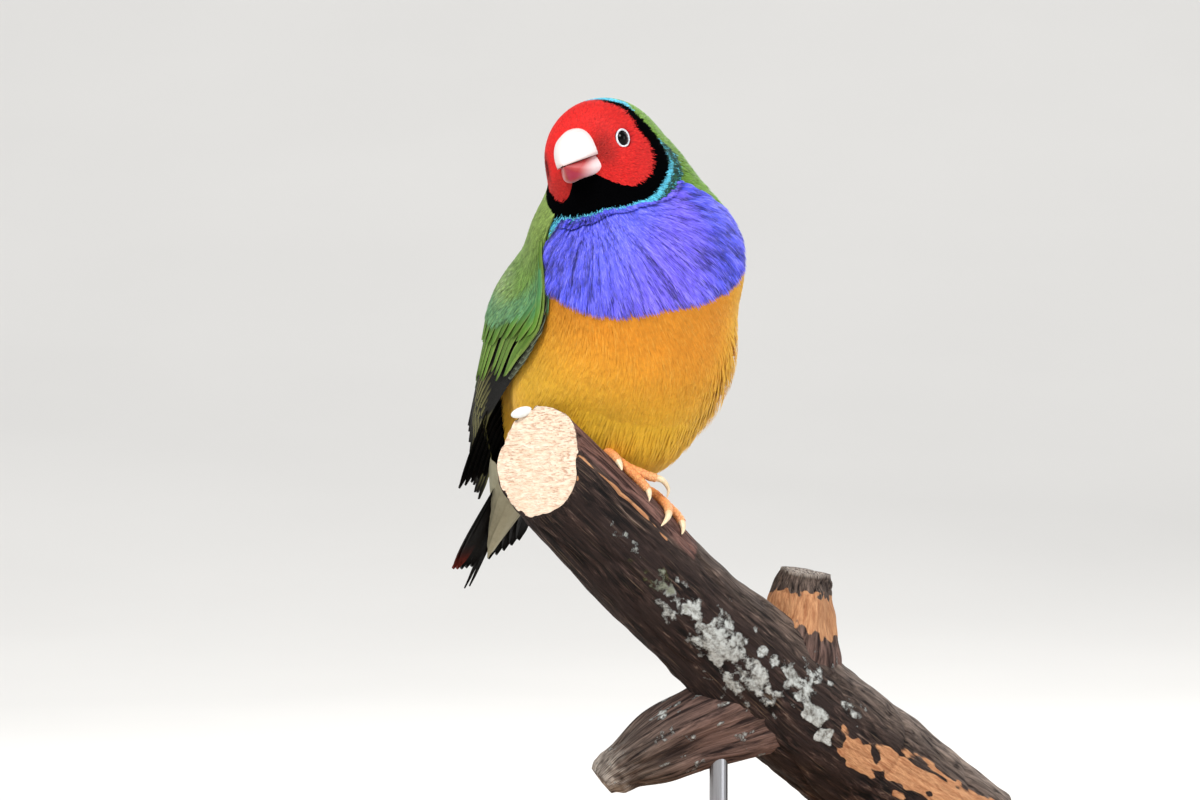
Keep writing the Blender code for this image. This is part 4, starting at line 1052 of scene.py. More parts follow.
# Adds one cambered feather to a store of points, faces, colours and places
def vaneMesh(store, middle, across, lift, half, point, tints):
    x = np.linspace(-1.0, 1.0, 7)
    share = np.linspace(0.0, 1.0, vaneRows)
    narrowing = np.sqrt(np.clip(1 - ((share - 1 + point) / point) ** 2, 0.0, 1.0))
    taper = np.where(share < 1 - point, 1.0, narrowing)
    width = half * (0.5 + 0.5 * np.minimum(1.0, share / 0.2)) * np.maximum(taper, 0.03)
    camber = -0.16 * half * x**2 + 0.10 * swellAt(x, 0.0, 0.16)
    grid = (middle[:, None] + across[:, None] * (x[None, :, None] * width[:, None, None])
            + lift[:, None] * camber[None, :, None])
    addGrid(store, grid, tints(x, share), closed=False)
    length = np.concatenate(([0.0], np.cumsum(np.linalg.norm(np.diff(middle, axis=0), axis=1))))
    barb = np.stack(np.broadcast_arrays(x[None] * width[:, None], length[:, None]), -1)
    store["barb"].append(barb.reshape(-1, 2))
    # its own cell of an 8 by 8 sheet
    cell = np.array(divmod(len(store["patch"]), 8)[::-1])
    uv = (cell + 0.06 + 0.88 * np.stack(np.broadcast_arrays((x[None] + 1) / 2, share[:, None]), -1)) / 8
    store["patch"].append(uv.reshape(-1, 2))


# Colour over one wing feather, x across it and share along it
def vaneTints(look):
    c = wing["colours"]
    flick = rng.uniform(0.82, 1.18)

    def paint(x, share):
        xx, ss = np.meshgrid(x, share)
        xx, ss = xx[..., None], ss[..., None]
        edge = blend(0.6, 0.95, np.abs(xx))
        if look == "primary":
            colour = c["dark"] * np.ones_like(xx * ss)
            rim = blend(0.82, 0.96, np.abs(xx)) * blend(0.45, 0.6, ss) * (1 - blend(0.86, 0.97, ss))
            colour = mixed(colour, c["olive"], rim)
        elif look == "secondary":
            # fine lighter streaks along the feather
            streak = 0.5 + 0.5 * np.sin(xx * 9.0 + 40.0 * flick)
            colour = c["green"] * (0.86 + 0.1 * ss) * (1 - 0.3 * streak) + c["yellowGreen"] * 0.28 * streak
            colour = mixed(colour, c["yellowGreen"], edge * 0.55)
            colour = mixed(colour, c["brown"], blend(0.9, 1.0, ss) * 0.5)
        elif look == "greater":
            colour = mixed(c["green"], c["band"], blend(0.75, 0.3, ss) * 0.45)
            colour = mixed(colour, c["yellowGreen"], edge * 0.5)
        else:
            colour = c["grey"] * (0.2 + 0.12 * ss)
            edge = np.maximum(edge, blend(0.7, 0.95, ss)) * 0.4
            colour = mixed(colour, c["sheen"], edge)
        shaft = 0.3 * swellAt(xx, 0.0, 0.14)
        return np.clip(colour * (1 - shaft) * flick, 0.0, 1.0)
    return paint


def buildWing(name, side):
    store = newStore()
    for look, tier in wing["tiers"].items():
        for index in range(tier["count"]):
            share = index / (tier["count"] - 1)
            jitter = rng.uniform(-0.5, 0.5)
            place, half, height = (np.interp(share, (0, 1), tier[k]) for k in ("across", "half", "height"))
            line = tier["tips"]
            end = curveAt(wing[line], place) if isinstance(line, str) else np.interp(share, (0, 1), line)
            end = end + tier["drop"] + jitter * tier.get("ragged", 1.4)
            along = np.linspace(min(end + tier["length"], 0.0), end, vaneRows)
            # feathers keep closer to the wing's own line than its outline does
            place = place + jitter * 0.01
            own, topmost = (wingAngle(k, along) - wingAngle(k, end) for k in (place, 1.0))
            angle = wingAngle(place, end) + mixed(own, topmost, tier["slant"])
            angle = np.maximum(angle, wingAngle(min(place, 0.03), along))
            lifted = np.maximum(height * np.minimum(1.0, 0.6 + np.linspace(0.0, 0.8, vaneRows)), 0.9)
            sink = np.interp(share, (0, 1), tier.get("sink", (0.0, 0.0)))
            lifted = lifted + sink * blend(-42.0, -56.0, along)
            middle = wingPoint(side, angle, along, lifted)
            beside = wingPoint(side, angle + 3.0, along, lifted)
            run = unit(np.gradient(middle, axis=0))
            outward = unit(np.cross(run, beside - middle))
            away = middle - (bodyOrigin + along[:, None] * body[2])
            outward *= np.sign(np.sum(outward * away, axis=1))[:, None]
            dorsal = unit(np.cross(outward, run))
            dorsal *= np.sign(np.sum(dorsal * (beside - middle), axis=1))[:, None]
            # the long feathers' ends turn to face the side
            twist = blend(-40.0, -60.0, along) * (wing["tipTilt"] - wing["tilt"])
            tilt = np.radians(wing["tilt"] + jitter * 2 + twist)[:, None]
            across = np.cos(tilt) * dorsal - np.sin(tilt) * outward
            lift = np.cos(tilt) * outward + np.sin(tilt) * dorsal
            vaneMesh(store, middle, across, lift, half, tier["point"], vaneTints(tier.get("look", look)))
    return finish(storePiece("wing_vanes_" + name, store), vaneMaterial, "plumage_green", "wing_" + name)


# Height of the wing's rounded shoulder above the body
def shoulderHeight(across, along):
    end = curveAt(wing["band"], across) - 2.0
    down = np.clip((wing["top"] - along) / (wing["top"] - end), 0.0, 1.0)
    rounded = np.clip(1 - (2 * np.clip(across, 0, 1) - 1) ** 2, 0, 1) ** 0.6
    return 0.15 + (0.4 + wing["swell"] * rounded) * np.sin(math.pi / 2 * np.minimum(1.0, down * 1.2))


# Rounded shoulder under the small wing feathers
def buildShoulder(name, side):
    share, across = np.meshgrid(np.linspace(0.0, 1.0, 40), np.linspace(0.0, 1.0, 30), indexing="ij")
    along = wing["top"] + share * (curveAt(wing["band"], across) + 2.0 - wing["top"])
    angle = wingAngle(across, along)
    top = wingPoint(side, angle, along, shoulderHeight(across, along) - 0.2)
    under = wingPoint(side, angle, along, np.full(angle.shape, -0.1))
    rings = [np.concatenate((t, u[::-1])) for t, u in zip(top, under)]
    # its dark green is painted shade under the small feathers
    piece = loftPiece("wing_shoulder_" + name, rings, tint=wing["colours"]["green"] * 0.45)
    return finish(piece, skinMaterial, "plumage_green")


# Small feathers over the shoulder, turquoise green towards their lower row, with a painted sheen over the
# middle
def buildSmall(name, side):
    count = wing["small"]
    across0 = rng.uniform(-0.04, 1.0, count)
    band = curveAt(wing["band"], across0)
    along0 = band - 0.5 + rng.random(count) ** 0.95 * (wing["top"] + 2.0 - band)
    down = (along0 - band) / (wing["top"] - band)
    length = np.interp(down, (0.0, 1.0), (3.8, 2.2)) * rng.uniform(0.8, 1.2, count)
    along = along0[:, None] - length[:, None] * tuftSteps
    across = np.clip(across0[:, None] + rng.normal(0.0, 0.01, count)[:, None] * tuftSteps, -0.05, 1.02)
    height = shoulderHeight(across, along) + 0.35 * tuftSteps * rng.uniform(0.2, 1.2, count)[:, None] - 0.12
    angle = wingAngle(across, along)
    middles = wingPoint(side, angle, along, height)
    beside = wingPoint(side, angle[:, 0] + 2.0, along[:, 0], height[:, 0]) - middles[:, 0]
    widths = rng.uniform(0.26, 0.46, count)[:, None] * np.array((0.8, 1.0, 0.75))
    c = wing["colours"]
    low = (blend(8.0, 3.5, along0 - band) * 0.6)[:, None]
    base = mixed(c["green"], c["band"], low)
    yellow = (blend(0.4, 0.9, down) * 0.45)[:, None]
    base = mixed(base, c["yellowGreen"], yellow)
    # painted sheen: greyish white over the middle of the shoulder and faintly all over
    sheen = 0.42 * swellAt(along0, -13.0, 4.0) * swellAt(across0, 0.6, 0.2) + 0.05
    sheen = (sheen * rng.uniform(0.4, 1.4, count))[:, None]
    base = mixed(base, c["sheen"], sheen)
    tints = tuftTints(base, np.full(count, 5), streaks=rng.normal(0.0, 0.16, count))
    patch = np.stack(((across0 + 0.1) / 1.2, (along0 + 28.0) / 38.0), -1)
    return tuftMesh("wing_small_" + name, middles, unit(beside), widths, tints, patch, coatMaterial,
                    "plumage_green")


def vaneFinish():
    # barbs slant out from the shaft
    shade = Shade("vane", Roughness=0.6, Sheen_Weight=0.02, Sheen_Roughness=0.3, Specular_IOR_Level=0.1)
    barb = shade.flat("barb")
    split = shade.node("SeparateXYZ", Vector=barb).outputs
    slant = shade.minus(split[1], shade.times(shade.maths("ABSOLUTE", split[0]), 1.3))
    wave = shade.maths("SINE", shade.times(slant, 26.0))
    stripe = shade.times(shade.plus(shade.times(wave, 0.5), 0.5), shade.noise(barb, 3.0, 3.0))
    striped = shade.mix(shade.times(stripe, 0.5), shade.barbs(700.0, 0.25)[0], (0.0, 0.0, 0.0))
    return shade.done(striped, stripe, 0.5)


vaneMaterial = vaneFinish()
for wingName, wingSide in (("left", 1), ("right", -1)):
    buildWing(wingName, wingSide)
    buildShoulder(wingName, wingSide)
    buildSmall(wingName, wingSide)
print("stage: wings")


# Tail
tail = {
    "aim": (-0.37, 0.5, -0.78), "roll": 17, "lengths": (22.6, 23.2, 23.8, 24.2, 24.6, 31), "spread": 13,
    "wedge": {
        "count": 15, "turns": (-100, 60), "wide": (9.5, 0.8), "tall": (6.6, 0.5), "aside": (-3, -1),
        "below": (0, 1.5), "length": 25, "half": 1.7,
    },
    "colours": {
        "black": rgb(12, 11, 11), "rufous": rgb(112, 40, 30), "white": rgb(176, 172, 146),
        "blue": rgb(70, 150, 168),
    },
}


def tailFrame():
    aim = unit(tail["aim"])
    left = unit(body[1] - aim * (body[1] @ aim))
    dorsal = np.cross(left, aim)
    dorsal *= np.sign(-(dorsal @ body[0]))
    c, s = math.cos(math.radians(tail["roll"])), math.sin(math.radians(tail["roll"]))
    return aim, c * left + s * dorsal, c * dorsal - s * left


def tailTints(look):
    c = tail["colours"]
    flick = rng.uniform(0.85, 1.15)

    def paint(x, share):
        xx, ss = np.meshgrid(x, share)
        xx, ss = xx[..., None], ss[..., None]
        if look == "outer":
            colour = mixed(c["black"], c["rufous"], blend(0.8, 0.97, ss))
        elif look == "black":
            colour = c["black"] * np.ones_like(xx * ss)
        else:
            colour = c[look] * (0.8 + 0.25 * ss)
        return np.clip(colour * flick * np.ones_like(xx), 0.0, 1.0)
    return paint


def addTailVane(store, start, lean, length, half, height, point, look, droop=0.0, ahead=2.0):
    aim, left, dorsal = tailFrame()
    lean = math.radians(lean)
    run = math.cos(lean) * aim + math.sin(lean) * left
    beside = math.cos(lean) * left - math.sin(lean) * aim
    share = np.linspace(0.0, 1.0, vaneRows)[:, None]
    root = spine[0] + aim * ahead + left * start
    middle = root + dorsal * (height - droop * share**2) + run * share * length
    beside, dorsal = (np.repeat(v[None], vaneRows, 0) for v in (beside, dorsal))
    vaneMesh(store, middle, beside, dorsal, half, point, tailTints(look))


def buildTail():
    store = newStore()
    pairs = len(tail["lengths"])
    for hand in (1, -1):
        for i, length in enumerate(tail["lengths"]):
            inward = i / (pairs - 1)
            lean = hand * (tail["spread"] * (1 - inward) + 0.6)
            start = hand * ((5.4 if hand < 0 else 4.6) * (1 - inward) + 0.5)
            half = 2.7 if i < pairs - 1 else 1.3
            addTailVane(store, start, lean, length + 1.0, half, 0.14 * i, 0.4 if i < pairs - 1 else 0.7,
                        "outer" if i < 2 and hand < 0 else "black", 0.5)
        for i in range(4):
            addTailVane(store, hand * (0.5 + 0.9 * i), hand * 1.2 * i, 14.0 - 1.5 * i, 1.7, 3.6 - 0.3 * i,
                        0.6, "blue", 2.2)
    # black feathers between the wing's end and the flank, partly the primaries' own dark and partly painted
    # shade of the flank behind
    for hand in (1, -1):
        for i in range(7):
            addTailVane(store, hand * (8.0 + 0.85 * i), hand * -2.0, 10.0 + 2.3 * i, 2.2, 2.4 + 0.55 * i,
                        0.8, "black", 0.6, -6.5 - 1.4 * i)
    aim, left, dorsal = tailFrame()
    # pale under-tail feathers wrap the root and draw together in a wedge
    fan = tail["wedge"]
    share = np.linspace(0.0, 1.0, vaneRows)[:, None]
    for i in range(fan["count"]):
        turn = math.radians(np.interp(i, (0, fan["count"] - 1), fan["turns"]))
        wide, tall, aside, below = (
            np.interp(share, (0, 1), fan[k]) for k in ("wide", "tall", "aside", "below"))
        off = i / (fan["count"] - 1) - 0.5
        length = fan["length"] * (1 - 0.22 * off**2 * 4) * rng.uniform(0.96, 1.03)
        middle = (spine[0] + aim * (length * share - 1.0) + left * (aside + wide * math.sin(turn))
                  - dorsal * (below + tall * math.cos(turn)))
        beside = unit(left * wide * math.cos(turn) + dorsal * tall * math.sin(turn))
        outward = unit(left * tall * math.sin(turn) - dorsal * wide * math.cos(turn))
        vaneMesh(store, middle, beside, outward, fan["half"], 0.7, tailTints("white"))
    piece = storePiece("tail_vanes", store)
    finish(piece, vaneMaterial, "plumage_black", "tail")
    # rump that the tail feathers grow from
    first = plumageRing(0.0, 48, grow=-0.6)
    turn = fullTurn(48)[:, None]
    rings, tints = [], []
    for share in np.linspace(0.0, 1.0, 12):
        centre = spine[0] + aim * (13.0 * share)
        flat = centre - np.cos(turn) * dorsal * (6.2 - 5.4 * share)
        flat = flat + np.sin(turn) * left * (8.2 - 3.8 * share)
        mix = min(1.0, share * 2)
        rings.append(mixed(first + aim * 13.0 * share, flat, mix))
        under = blend(0.1, 0.5, np.cos(turn))
        over = blend(-0.3, -0.7, np.cos(turn))
        c = tail["colours"]
        tints.append(mixed(mixed(c["black"], c["blue"] * 0.7, over), c["white"] * 0.6, under))
    finish(loftPiece("tail_root", rings, tints), skinMaterial, "plumage_black")


buildTail()
print("stage: tail")


# Perch
perch = {
    "line": ((-45.2, -21.4, 101, 9.7), (-38.2, -17, 94.1, 9.9), (-20.5, -6, 76.6, 10.4),
             (-4.8, 4, 61.5, 11), (11.5, 14.4, 46.6, 12.3), (27, 23, 34.2, 12.2), (46, 31.8, 21.2, 11)),
    "cutCentre": (-38.2, -17, 94.1), "cutAzimuth": -40, "cutRise": 14,
    "upperStub": ((8.5, 14, 51, 12), (10.2, 13, 58, 9.6), (11.6, 12, 65, 6.8), (12.2, 11.5, 70.5, 5.4),
                  (12.6, 11.2, 73.2, 4.4)),
    "lowerStub": ((7, 11, 50, 10.5), (-2, 8.5, 46, 8.9), (-11, 6.5, 42.2, 7.5), (-20, 5.4, 37.4, 5.4),
                  (-24, 5, 34.8, 4.2), (-26, 4.7, 33.2, 3)),
    "columns": 200, "rows": 300, "relief": 0.55,
    "capRows": 16, "stubSides": 110, "stubRows": 90,
    # patches of cover: distance along, turn, half length, half width, then lichen, bare wood and moss
    "patches": ((38, 80, 5, 2.5, (0.6, 0, 0.2)), (47, 90, 6, 3, (0.75, 0, 0.5)),
                (53, 92, 7, 5, (0.95, 0, 0.25)), (62, 92, 8, 6.6, (1, 0, 0)),
                (71, 96, 7, 6.4, (1, 0, 0)), (78, 72, 4.5, 3.4, (1.1, 0, 0)),
                (84, 82, 3.4, 1.9, (1.3, 0, 0)), (88, 92, 2, 1.9, (1.4, 0, 0)),
                (80, 55, 5, 3, (0.8, 0, 0)), (90, 56, 5, 3, (0.75, 0, 0)), (97, 86, 6, 2.8, (0, 1, 0)),
                (106, 76, 8, 3.1, (0, 1.1, 0)), (116, 68, 9, 3.2, (0, 1.1, 0)),
                (127, 60, 8, 3.2, (0, 1, 0)), (26, 70, 2, 0.9, (0, 0.85, 0)),
                (30, 62, 1.6, 1.2, (0.7, 0.3, 0)), (60, 250, 12, 6, (0.7, 0, 0.3)),
                (95, 280, 12, 6, (0.6, 0, 0.2)), (110, 190, 10, 3, (0, 1, 0))),
    "strip": {"end": 43, "turn": 46, "height": 0.7}, "fleck": (-39.8, 104.2),
    # share of the line at the cut, and the whole line's length
    "first": 1 / 6, "length": 130,
}


# The low ridges that the solid has too
def barkSwell(along, turn):
    ridges = 0.22 * np.sin(5 * turn + 0.6 * np.sin(along * 0.11))
    return ridges + 0.16 * np.sin(3 * turn + along * 0.07 + 1.3) + 0.2 * np.sin(along * 0.19 + 2 * turn)


# Fine ridges and cracks that run along the branch
def barkRelief(along, turn, seed):
    u = turn / (2 * math.pi)
    drift = 0.25 * lattice(u * 3, along / 17.0, seed + 5, wrap=3)
    ridge = lattice((u * 26 + drift) % 26, along / 9.0, seed, wrap=26)
    fine = lattice((u * 60 + drift * 2) % 60, along / 3.0, seed + 1, wrap=60)
    crack = np.clip(1 - np.abs(lattice((u * 12 + drift * 3) % 12, along / 14.0, seed + 2, wrap=12)) * 5, 0, 1)
    lump = lattice((u * 8) % 8, along / 4.0, seed + 3, wrap=8)
    return perch["relief"] * (0.35 * ridge + 0.28 * fine + 0.25 * lump - 0.8 * crack**2)


def alongLine(line, share, step):
    places, radii = np.split(np.array(line), (3,), axis=1)
    shares = (max(0.0, share - step), share, min(1.0, share + step))
    behind, here, ahead = (smoothLine(places, s) for s in shares)
    return here, unit(ahead - behind), float(smoothLine(radii, share)[0])


def perchAt(share):
    centre, run, radius = alongLine(perch["line"], share, 0.01)
    ridge = unit(np.cross(run, (0.0, 1.0, 0.0)))
    ridge *= np.sign(ridge[2])
    toward = unit(np.cross(ridge, run))
    toward *= -np.sign(toward[1])
    return centre, run, ridge, toward, radius


# Strength of lichen, bare wood and moss on the branch
def coverAt(along, turn):
    cover = np.zeros((len(turn), 3))
    grain = 0.35 * lattice(along / 1.5 + 10, turn * 6 + 10, 21)
    grain = grain + 0.3 * lattice(along / 5.0 + 10, turn * 14 + 10, 22)
    for middle, facing, half, wide, strength in perch["patches"]:
        side = (turn - math.radians(facing) + math.pi) % (2 * math.pi) - math.pi
        away = np.hypot((along - middle) / half, side * 11.0 / wide) * (0.85 if strength[0] > 0.5 else 1.0)
        cover = np.maximum(cover, np.clip(1.3 - away + grain, 0.0, 1.0)[:, None] * np.array(strength))
    # orange wood shows along the edge of the split strip
    strip = perch["strip"]
    line = strip["turn"] + 1.5 + 2.0 * lattice(along / 3.0 + 10, turn * 0 + 10, 25)
    edge = swellAt(np.degrees(turn), line, 1.5) * (along < strip["end"])
    cover[:, 1] = np.maximum(cover[:, 1], edge * (0.55 + 0.5 * lattice(along / 1.7 + 5, turn * 3 + 10, 26)))
    return cover


# Pale ridge and red strip beside the split
def toneAt(along, turn):
    tone = np.zeros((len(turn), 3))
    facing = np.degrees((turn + math.pi) % (2 * math.pi) - math.pi)
    tone[:, 0] = swellAt(facing, 8.0, 34.0) * np.interp(along, (45, 80, 120), (0.35, 0.6, 1.0))
    strip = perch["strip"]
    red = blend(strip["turn"], strip["turn"] - 6, facing) * blend(-50, -20, facing)
    tone[:, 1] = red * (along < strip["end"] + 6)
    return tone


# Branch piece from rows of ring, place for the bark, cover and tone, with flat ends in another material
def barkPiece(name, rows, cap=0):
    grid, places, cover, tone = (np.array(part) for part in zip(*rows))
    high, columns = grid.shape[:2]
    cells = np.broadcast_arrays(np.arange(columns)[None] / columns, np.arange(high)[:, None] / high)
    patches = {"OFBake": np.stack(cells, -1).reshape(-1, 2), "bark": places.reshape(-1, 2)}
    faces = gridFaces(high, columns)
    piece = addPiece(name, grid.reshape(-1, 3), faces, tint=cover.reshape(-1, 3), patches=patches)
    paint(piece.data, "tone", tone.reshape(-1, 3))
    if cap:
        ends = np.zeros(len(faces), np.int32)
        ends[:cap * columns] = 1
        ends[-4 * columns:] = 1
        piece.data.polygons.foreach_set("material_index", ends)
    return piece


def ringAt(centre, reach, turn, one, other):
    return centre + reach[:, None] * (np.cos(turn)[:, None] * one + np.sin(turn)[:, None] * other)


def buildBranch():
    azimuth, rise = np.radians((perch["cutAzimuth"], perch["cutRise"]))
    facing = np.array((math.sin(azimuth) * math.cos(rise), -math.cos(azimuth) * math.cos(rise),
                       math.sin(rise)))
    strip, columns, capRows = perch["strip"], perch["columns"], perch["capRows"]
    turn = fullTurn(columns)
    facingTurn = np.degrees((turn + math.pi) % (2 * math.pi) - math.pi)
    cutRun = perchAt(0.2)[1]
    slideFar = perch["first"] + 0.13
    rows = []
    for share in np.linspace(perch["first"], 1.0, perch["rows"]):
        centre, _, ridge, toward, radius = perchAt(share)
        along = share * perch["length"]
        reach = radius + barkSwell(along, turn) + barkRelief(along, turn, 40)
        raised = blend(strip["turn"] + 2, strip["turn"] - 2, facingTurn) * blend(-60, 0, facingTurn)
        reach = reach + strip["height"] * (raised - 0.6) * blend(strip["end"], strip["end"] - 8, along)
        ring = ringAt(centre, reach, turn, ridge, toward)
        # the first stretch slides along the branch into the plane of the cut
        if share < slideFar:
            slide = ((np.array(perch["cutCentre"]) - ring) @ facing) / (cutRun @ facing)
            ring = mixed(ring, ring + cutRun * slide[:, None], 1 - blend(perch["first"], slideFar, share))
        full = np.full(columns, along)
        rows.append((ring, np.stack((turn * 10.5, full), -1), coverAt(full, turn), toneAt(full, turn)))
    rim = rows[0][0]
    middle = rim.mean(0)
    cap = []
    for s in np.linspace(0.0, 1.0, capRows + 1)[:-1]:
        ring = middle + (rim - middle) * (0.002 + 0.998 * s)
        saw = 0.10 * lattice(ring[:, 2] * 1.7, ring[:, 0] * 0.35, 77)
        saw = saw + 0.14 * lattice(ring[:, 0] * 0.8, ring[:, 2] * 0.8, 78)
        ring = ring + facing * (saw * (1 - s**6) - 0.05)[:, None]
        cap.append((ring, np.stack((ring[:, 0] * 1.2 + ring[:, 1], ring[:, 2]), -1), *rows[0][2:]))
    last = rows[-1]
    end = last[0].mean(0)
    rows = cap + rows + [(end + (last[0] - end) * s, *last[1:]) for s in (0.97, 0.8, 0.5, 0.002)]
    finish(barkPiece("perch_branch", rows, capRows), (barkMaterial, cutMaterial), "bark", "perch")
    # a white fleck on the rim of the cut
    turn = fullTurn(24)[:, None]
    across, other = np.array((0.94, -0.2, 0.3)), np.array((-0.28, 0.1, 0.95))
    corner = rim[np.argmin(np.hypot(rim[:, 0] - perch["fleck"][0], rim[:, 2] - perch["fleck"][1]))]
    flat = np.cos(turn) * across * 2.1 + np.sin(turn) * other
    deep = np.cross(across, other) * 0.5
    rings = [corner - across * 1.85 + deep * np.cos(b) + flat * np.sin(b) for b in np.linspace(0.1, 3.0, 12)]
    finish(loftPiece("perch_fleck", rings, tint=rgb(226, 230, 228)), fleckMaterial, "bark")


def buildStub(name, seed):
    sides = perch["stubSides"]
    turn = fullTurn(sides)
    rows = []
    for share in np.linspace(0.0, 1.0, perch["stubRows"]):
        centre, run, radius = alongLine(perch[name], share, 0.02)
        one = unit(np.cross(run, (0.0, 1.0, 0.0)))
        knot = 0.5 * lattice((turn * 8 / (2 * math.pi)) % 8, np.full(sides, share * 6.0), seed + 7, wrap=8)
        reach = radius * (1 + 0.07 * np.sin(3 * turn + 4 * share) + 0.05 * np.sin(5 * turn - 3 * share))
        reach = reach + (barkRelief(share * 30.0, turn, seed) + knot) * min(1.0, radius / 4.0)
        near = lattice(turn * 6 + 10, np.full(sides, share * 18.0), seed + 9)
        cover = np.zeros((sides, 3))
        if name == "upperStub":
            band = np.abs(share - 0.52 - 0.06 * np.sin(turn)) / 0.11
            cover[:, 1] = np.clip(1.6 - band + 0.5 * near, 0, 1)
            cover[:, 0] = np.clip(0.55 + 0.5 * near - abs(share - 0.25) * 3, 0, 1)
            broken = blend(0.93, 1.0, share) * 0.7
        else:
            cover[:, 0] = np.clip(0.3 + 0.6 * near, 0, 1)
            broken = np.clip(blend(0.55, 0.95, share) + 0.6 * near * blend(0.4, 0.8, share), 0, 1)
        tone = np.stack(np.broadcast_arrays(0.35, 0.5 * blend(0.6, 0.3, share), broken + turn * 0), -1)
        place = np.stack((turn * 8.0, np.full(sides, share * 30.0)), -1)
        rows.append((ringAt(centre, reach, turn, one, np.cross(run, one)), place, cover, tone))
    last = rows[-1]
    end = last[0].mean(0)
    for s in (0.85, 0.6, 0.3, 0.002):
        ring = end + (last[0] - end) * s + run * 0.3 * (1 - s)
        rows.append((ring, np.stack((ring[:, 0], ring[:, 1] * 4), -1), *last[2:]))
    finish(barkPiece("perch_" + name, rows), barkMaterial, "bark")


def barkFinish():
    shade = Shade("barkSkin", Specular_IOR_Level=0.25)
    flat = shade.flat("bark")
    stretched = shade.drawn(flat, (1.0, 0.16, 1.0))
    streak = shade.noise(stretched, 1.1, 8.0, 0.68, 0.6)
    scratch = shade.noise(shade.drawn(flat, (1.0, 0.045, 1.0)), 2.8, 4.0)
    blotch = shade.noise(shade.drawn(flat, (1.0, 0.5, 1.0)), 0.22, 4.0, 0.6)
    colour = shade.ramp(streak, (0.40, rgb(7, 5, 5)), (0.50, rgb(36, 24, 21)), (0.60, rgb(76, 57, 51)),
                        (0.72, rgb(158, 136, 120)))
    pale = shade.ramp(scratch, (0.60, 0.0), (0.68, 1.0))
    colour = shade.mix(shade.times(pale, 0.3), colour, rgb(170, 144, 118))
    colour = shade.mix(shade.ramp(blotch, (0.42, 0.0), (0.58, 0.8)), colour, rgb(48, 35, 32))
    # pale ridge, red strip beside the split and broken ends
    tones = shade.node("SeparateColor", Color=shade.tint("tone")).outputs
    for share, source, stops in (
            (tones[0], streak, ((0.38, rgb(44, 33, 31)), (0.62, rgb(172, 152, 138)))),
            (tones[1], streak, ((0.40, rgb(44, 26, 24)), (0.60, rgb(142, 104, 94)))),
            (tones[2], scratch, ((0.35, rgb(70, 56, 50)), (0.6, rgb(204, 192, 180))))):
        colour = shade.mix(share, colour, shade.ramp(source, *stops))
    # lichen, bare wood and moss
    covers = shade.node("SeparateColor", Color=shade.tint()).outputs
    place = shade.place()
    crumbs = shade.noise(place, 900.0, 5.0, 0.7)
    lumps = shade.node("TexVoronoi", {"feature": "SMOOTH_F1"}, Vector=place, Scale=420.0, Smoothness=0.3)
    crumb = shade.minus(crumbs, shade.times(lumps.outputs[0], 0.6))
    lichen = shade.ramp(shade.times(shade.plus(covers[0], crumb), 0.6), (0.56, 0.0), (0.66, 1.0))
    moss = shade.ramp(shade.times(shade.plus(covers[2], crumb), 0.6), (0.40, 0.0), (0.50, 1.0))
    bare = shade.ramp(shade.plus(covers[1], shade.times(streak, 0.5)), (0.62, 0.0), (0.70, 1.0))
    wood, _ = shade.wood(stretched, rgb(224, 168, 122), rgb(168, 108, 72), 1.6)
    crust = shade.ramp(crumbs, (0.35, rgb(120, 116, 108)), (0.58, rgb(232, 236, 232)))
    colour = shade.mix(bare, colour, wood)
    colour = shade.mix(shade.times(lichen, 0.85), colour, crust)
    colour = shade.mix(shade.times(moss, 0.7), colour, rgb(92, 96, 46))
    height = shade.plus(streak, shade.times(scratch, 0.4))
    height = shade.plus(height, shade.times(lichen, shade.plus(crumb, 0.4)))
    return shade.done(colour, height, 1.0, 0.0009, shade.minus(0.95, shade.times(streak, 0.3)))


def cutFinish():
    # rough sawn end of the branch
    shade = Shade("cutWood", Roughness=0.8)
    place = shade.place()
    flat = shade.drawn(place, (0.35, 0.35, 1.3), 0.12)
    colour, grain = shade.wood(flat, rgb(253, 234, 212), rgb(222, 180, 146), 1100.0)
    broad = shade.noise(place, 110.0, 3.0)
    dots = shade.ramp(shade.noise(flat, 2600.0), (0.50, 0.0), (0.66, 1.0))
    colour = shade.mix(shade.times(broad, 0.55), colour, rgb(250, 232, 210))
    patchy = shade.ramp(broad, (0.42, 0.15), (0.60, 0.75))
    colour = shade.mix(shade.times(dots, patchy), colour, rgb(196, 142, 110))
    return shade.done(colour, shade.minus(grain, shade.times(dots, 0.4)), 0.7, 0.0005)


barkMaterial = barkFinish()
fleckMaterial = featherMaterial("fleck", 600.0, 0.1, 0.7)
cutMaterial = cutFinish()
buildBranch()
buildStub("upperStub", 60)
buildStub("lowerStub", 90)
print("stage: perch")


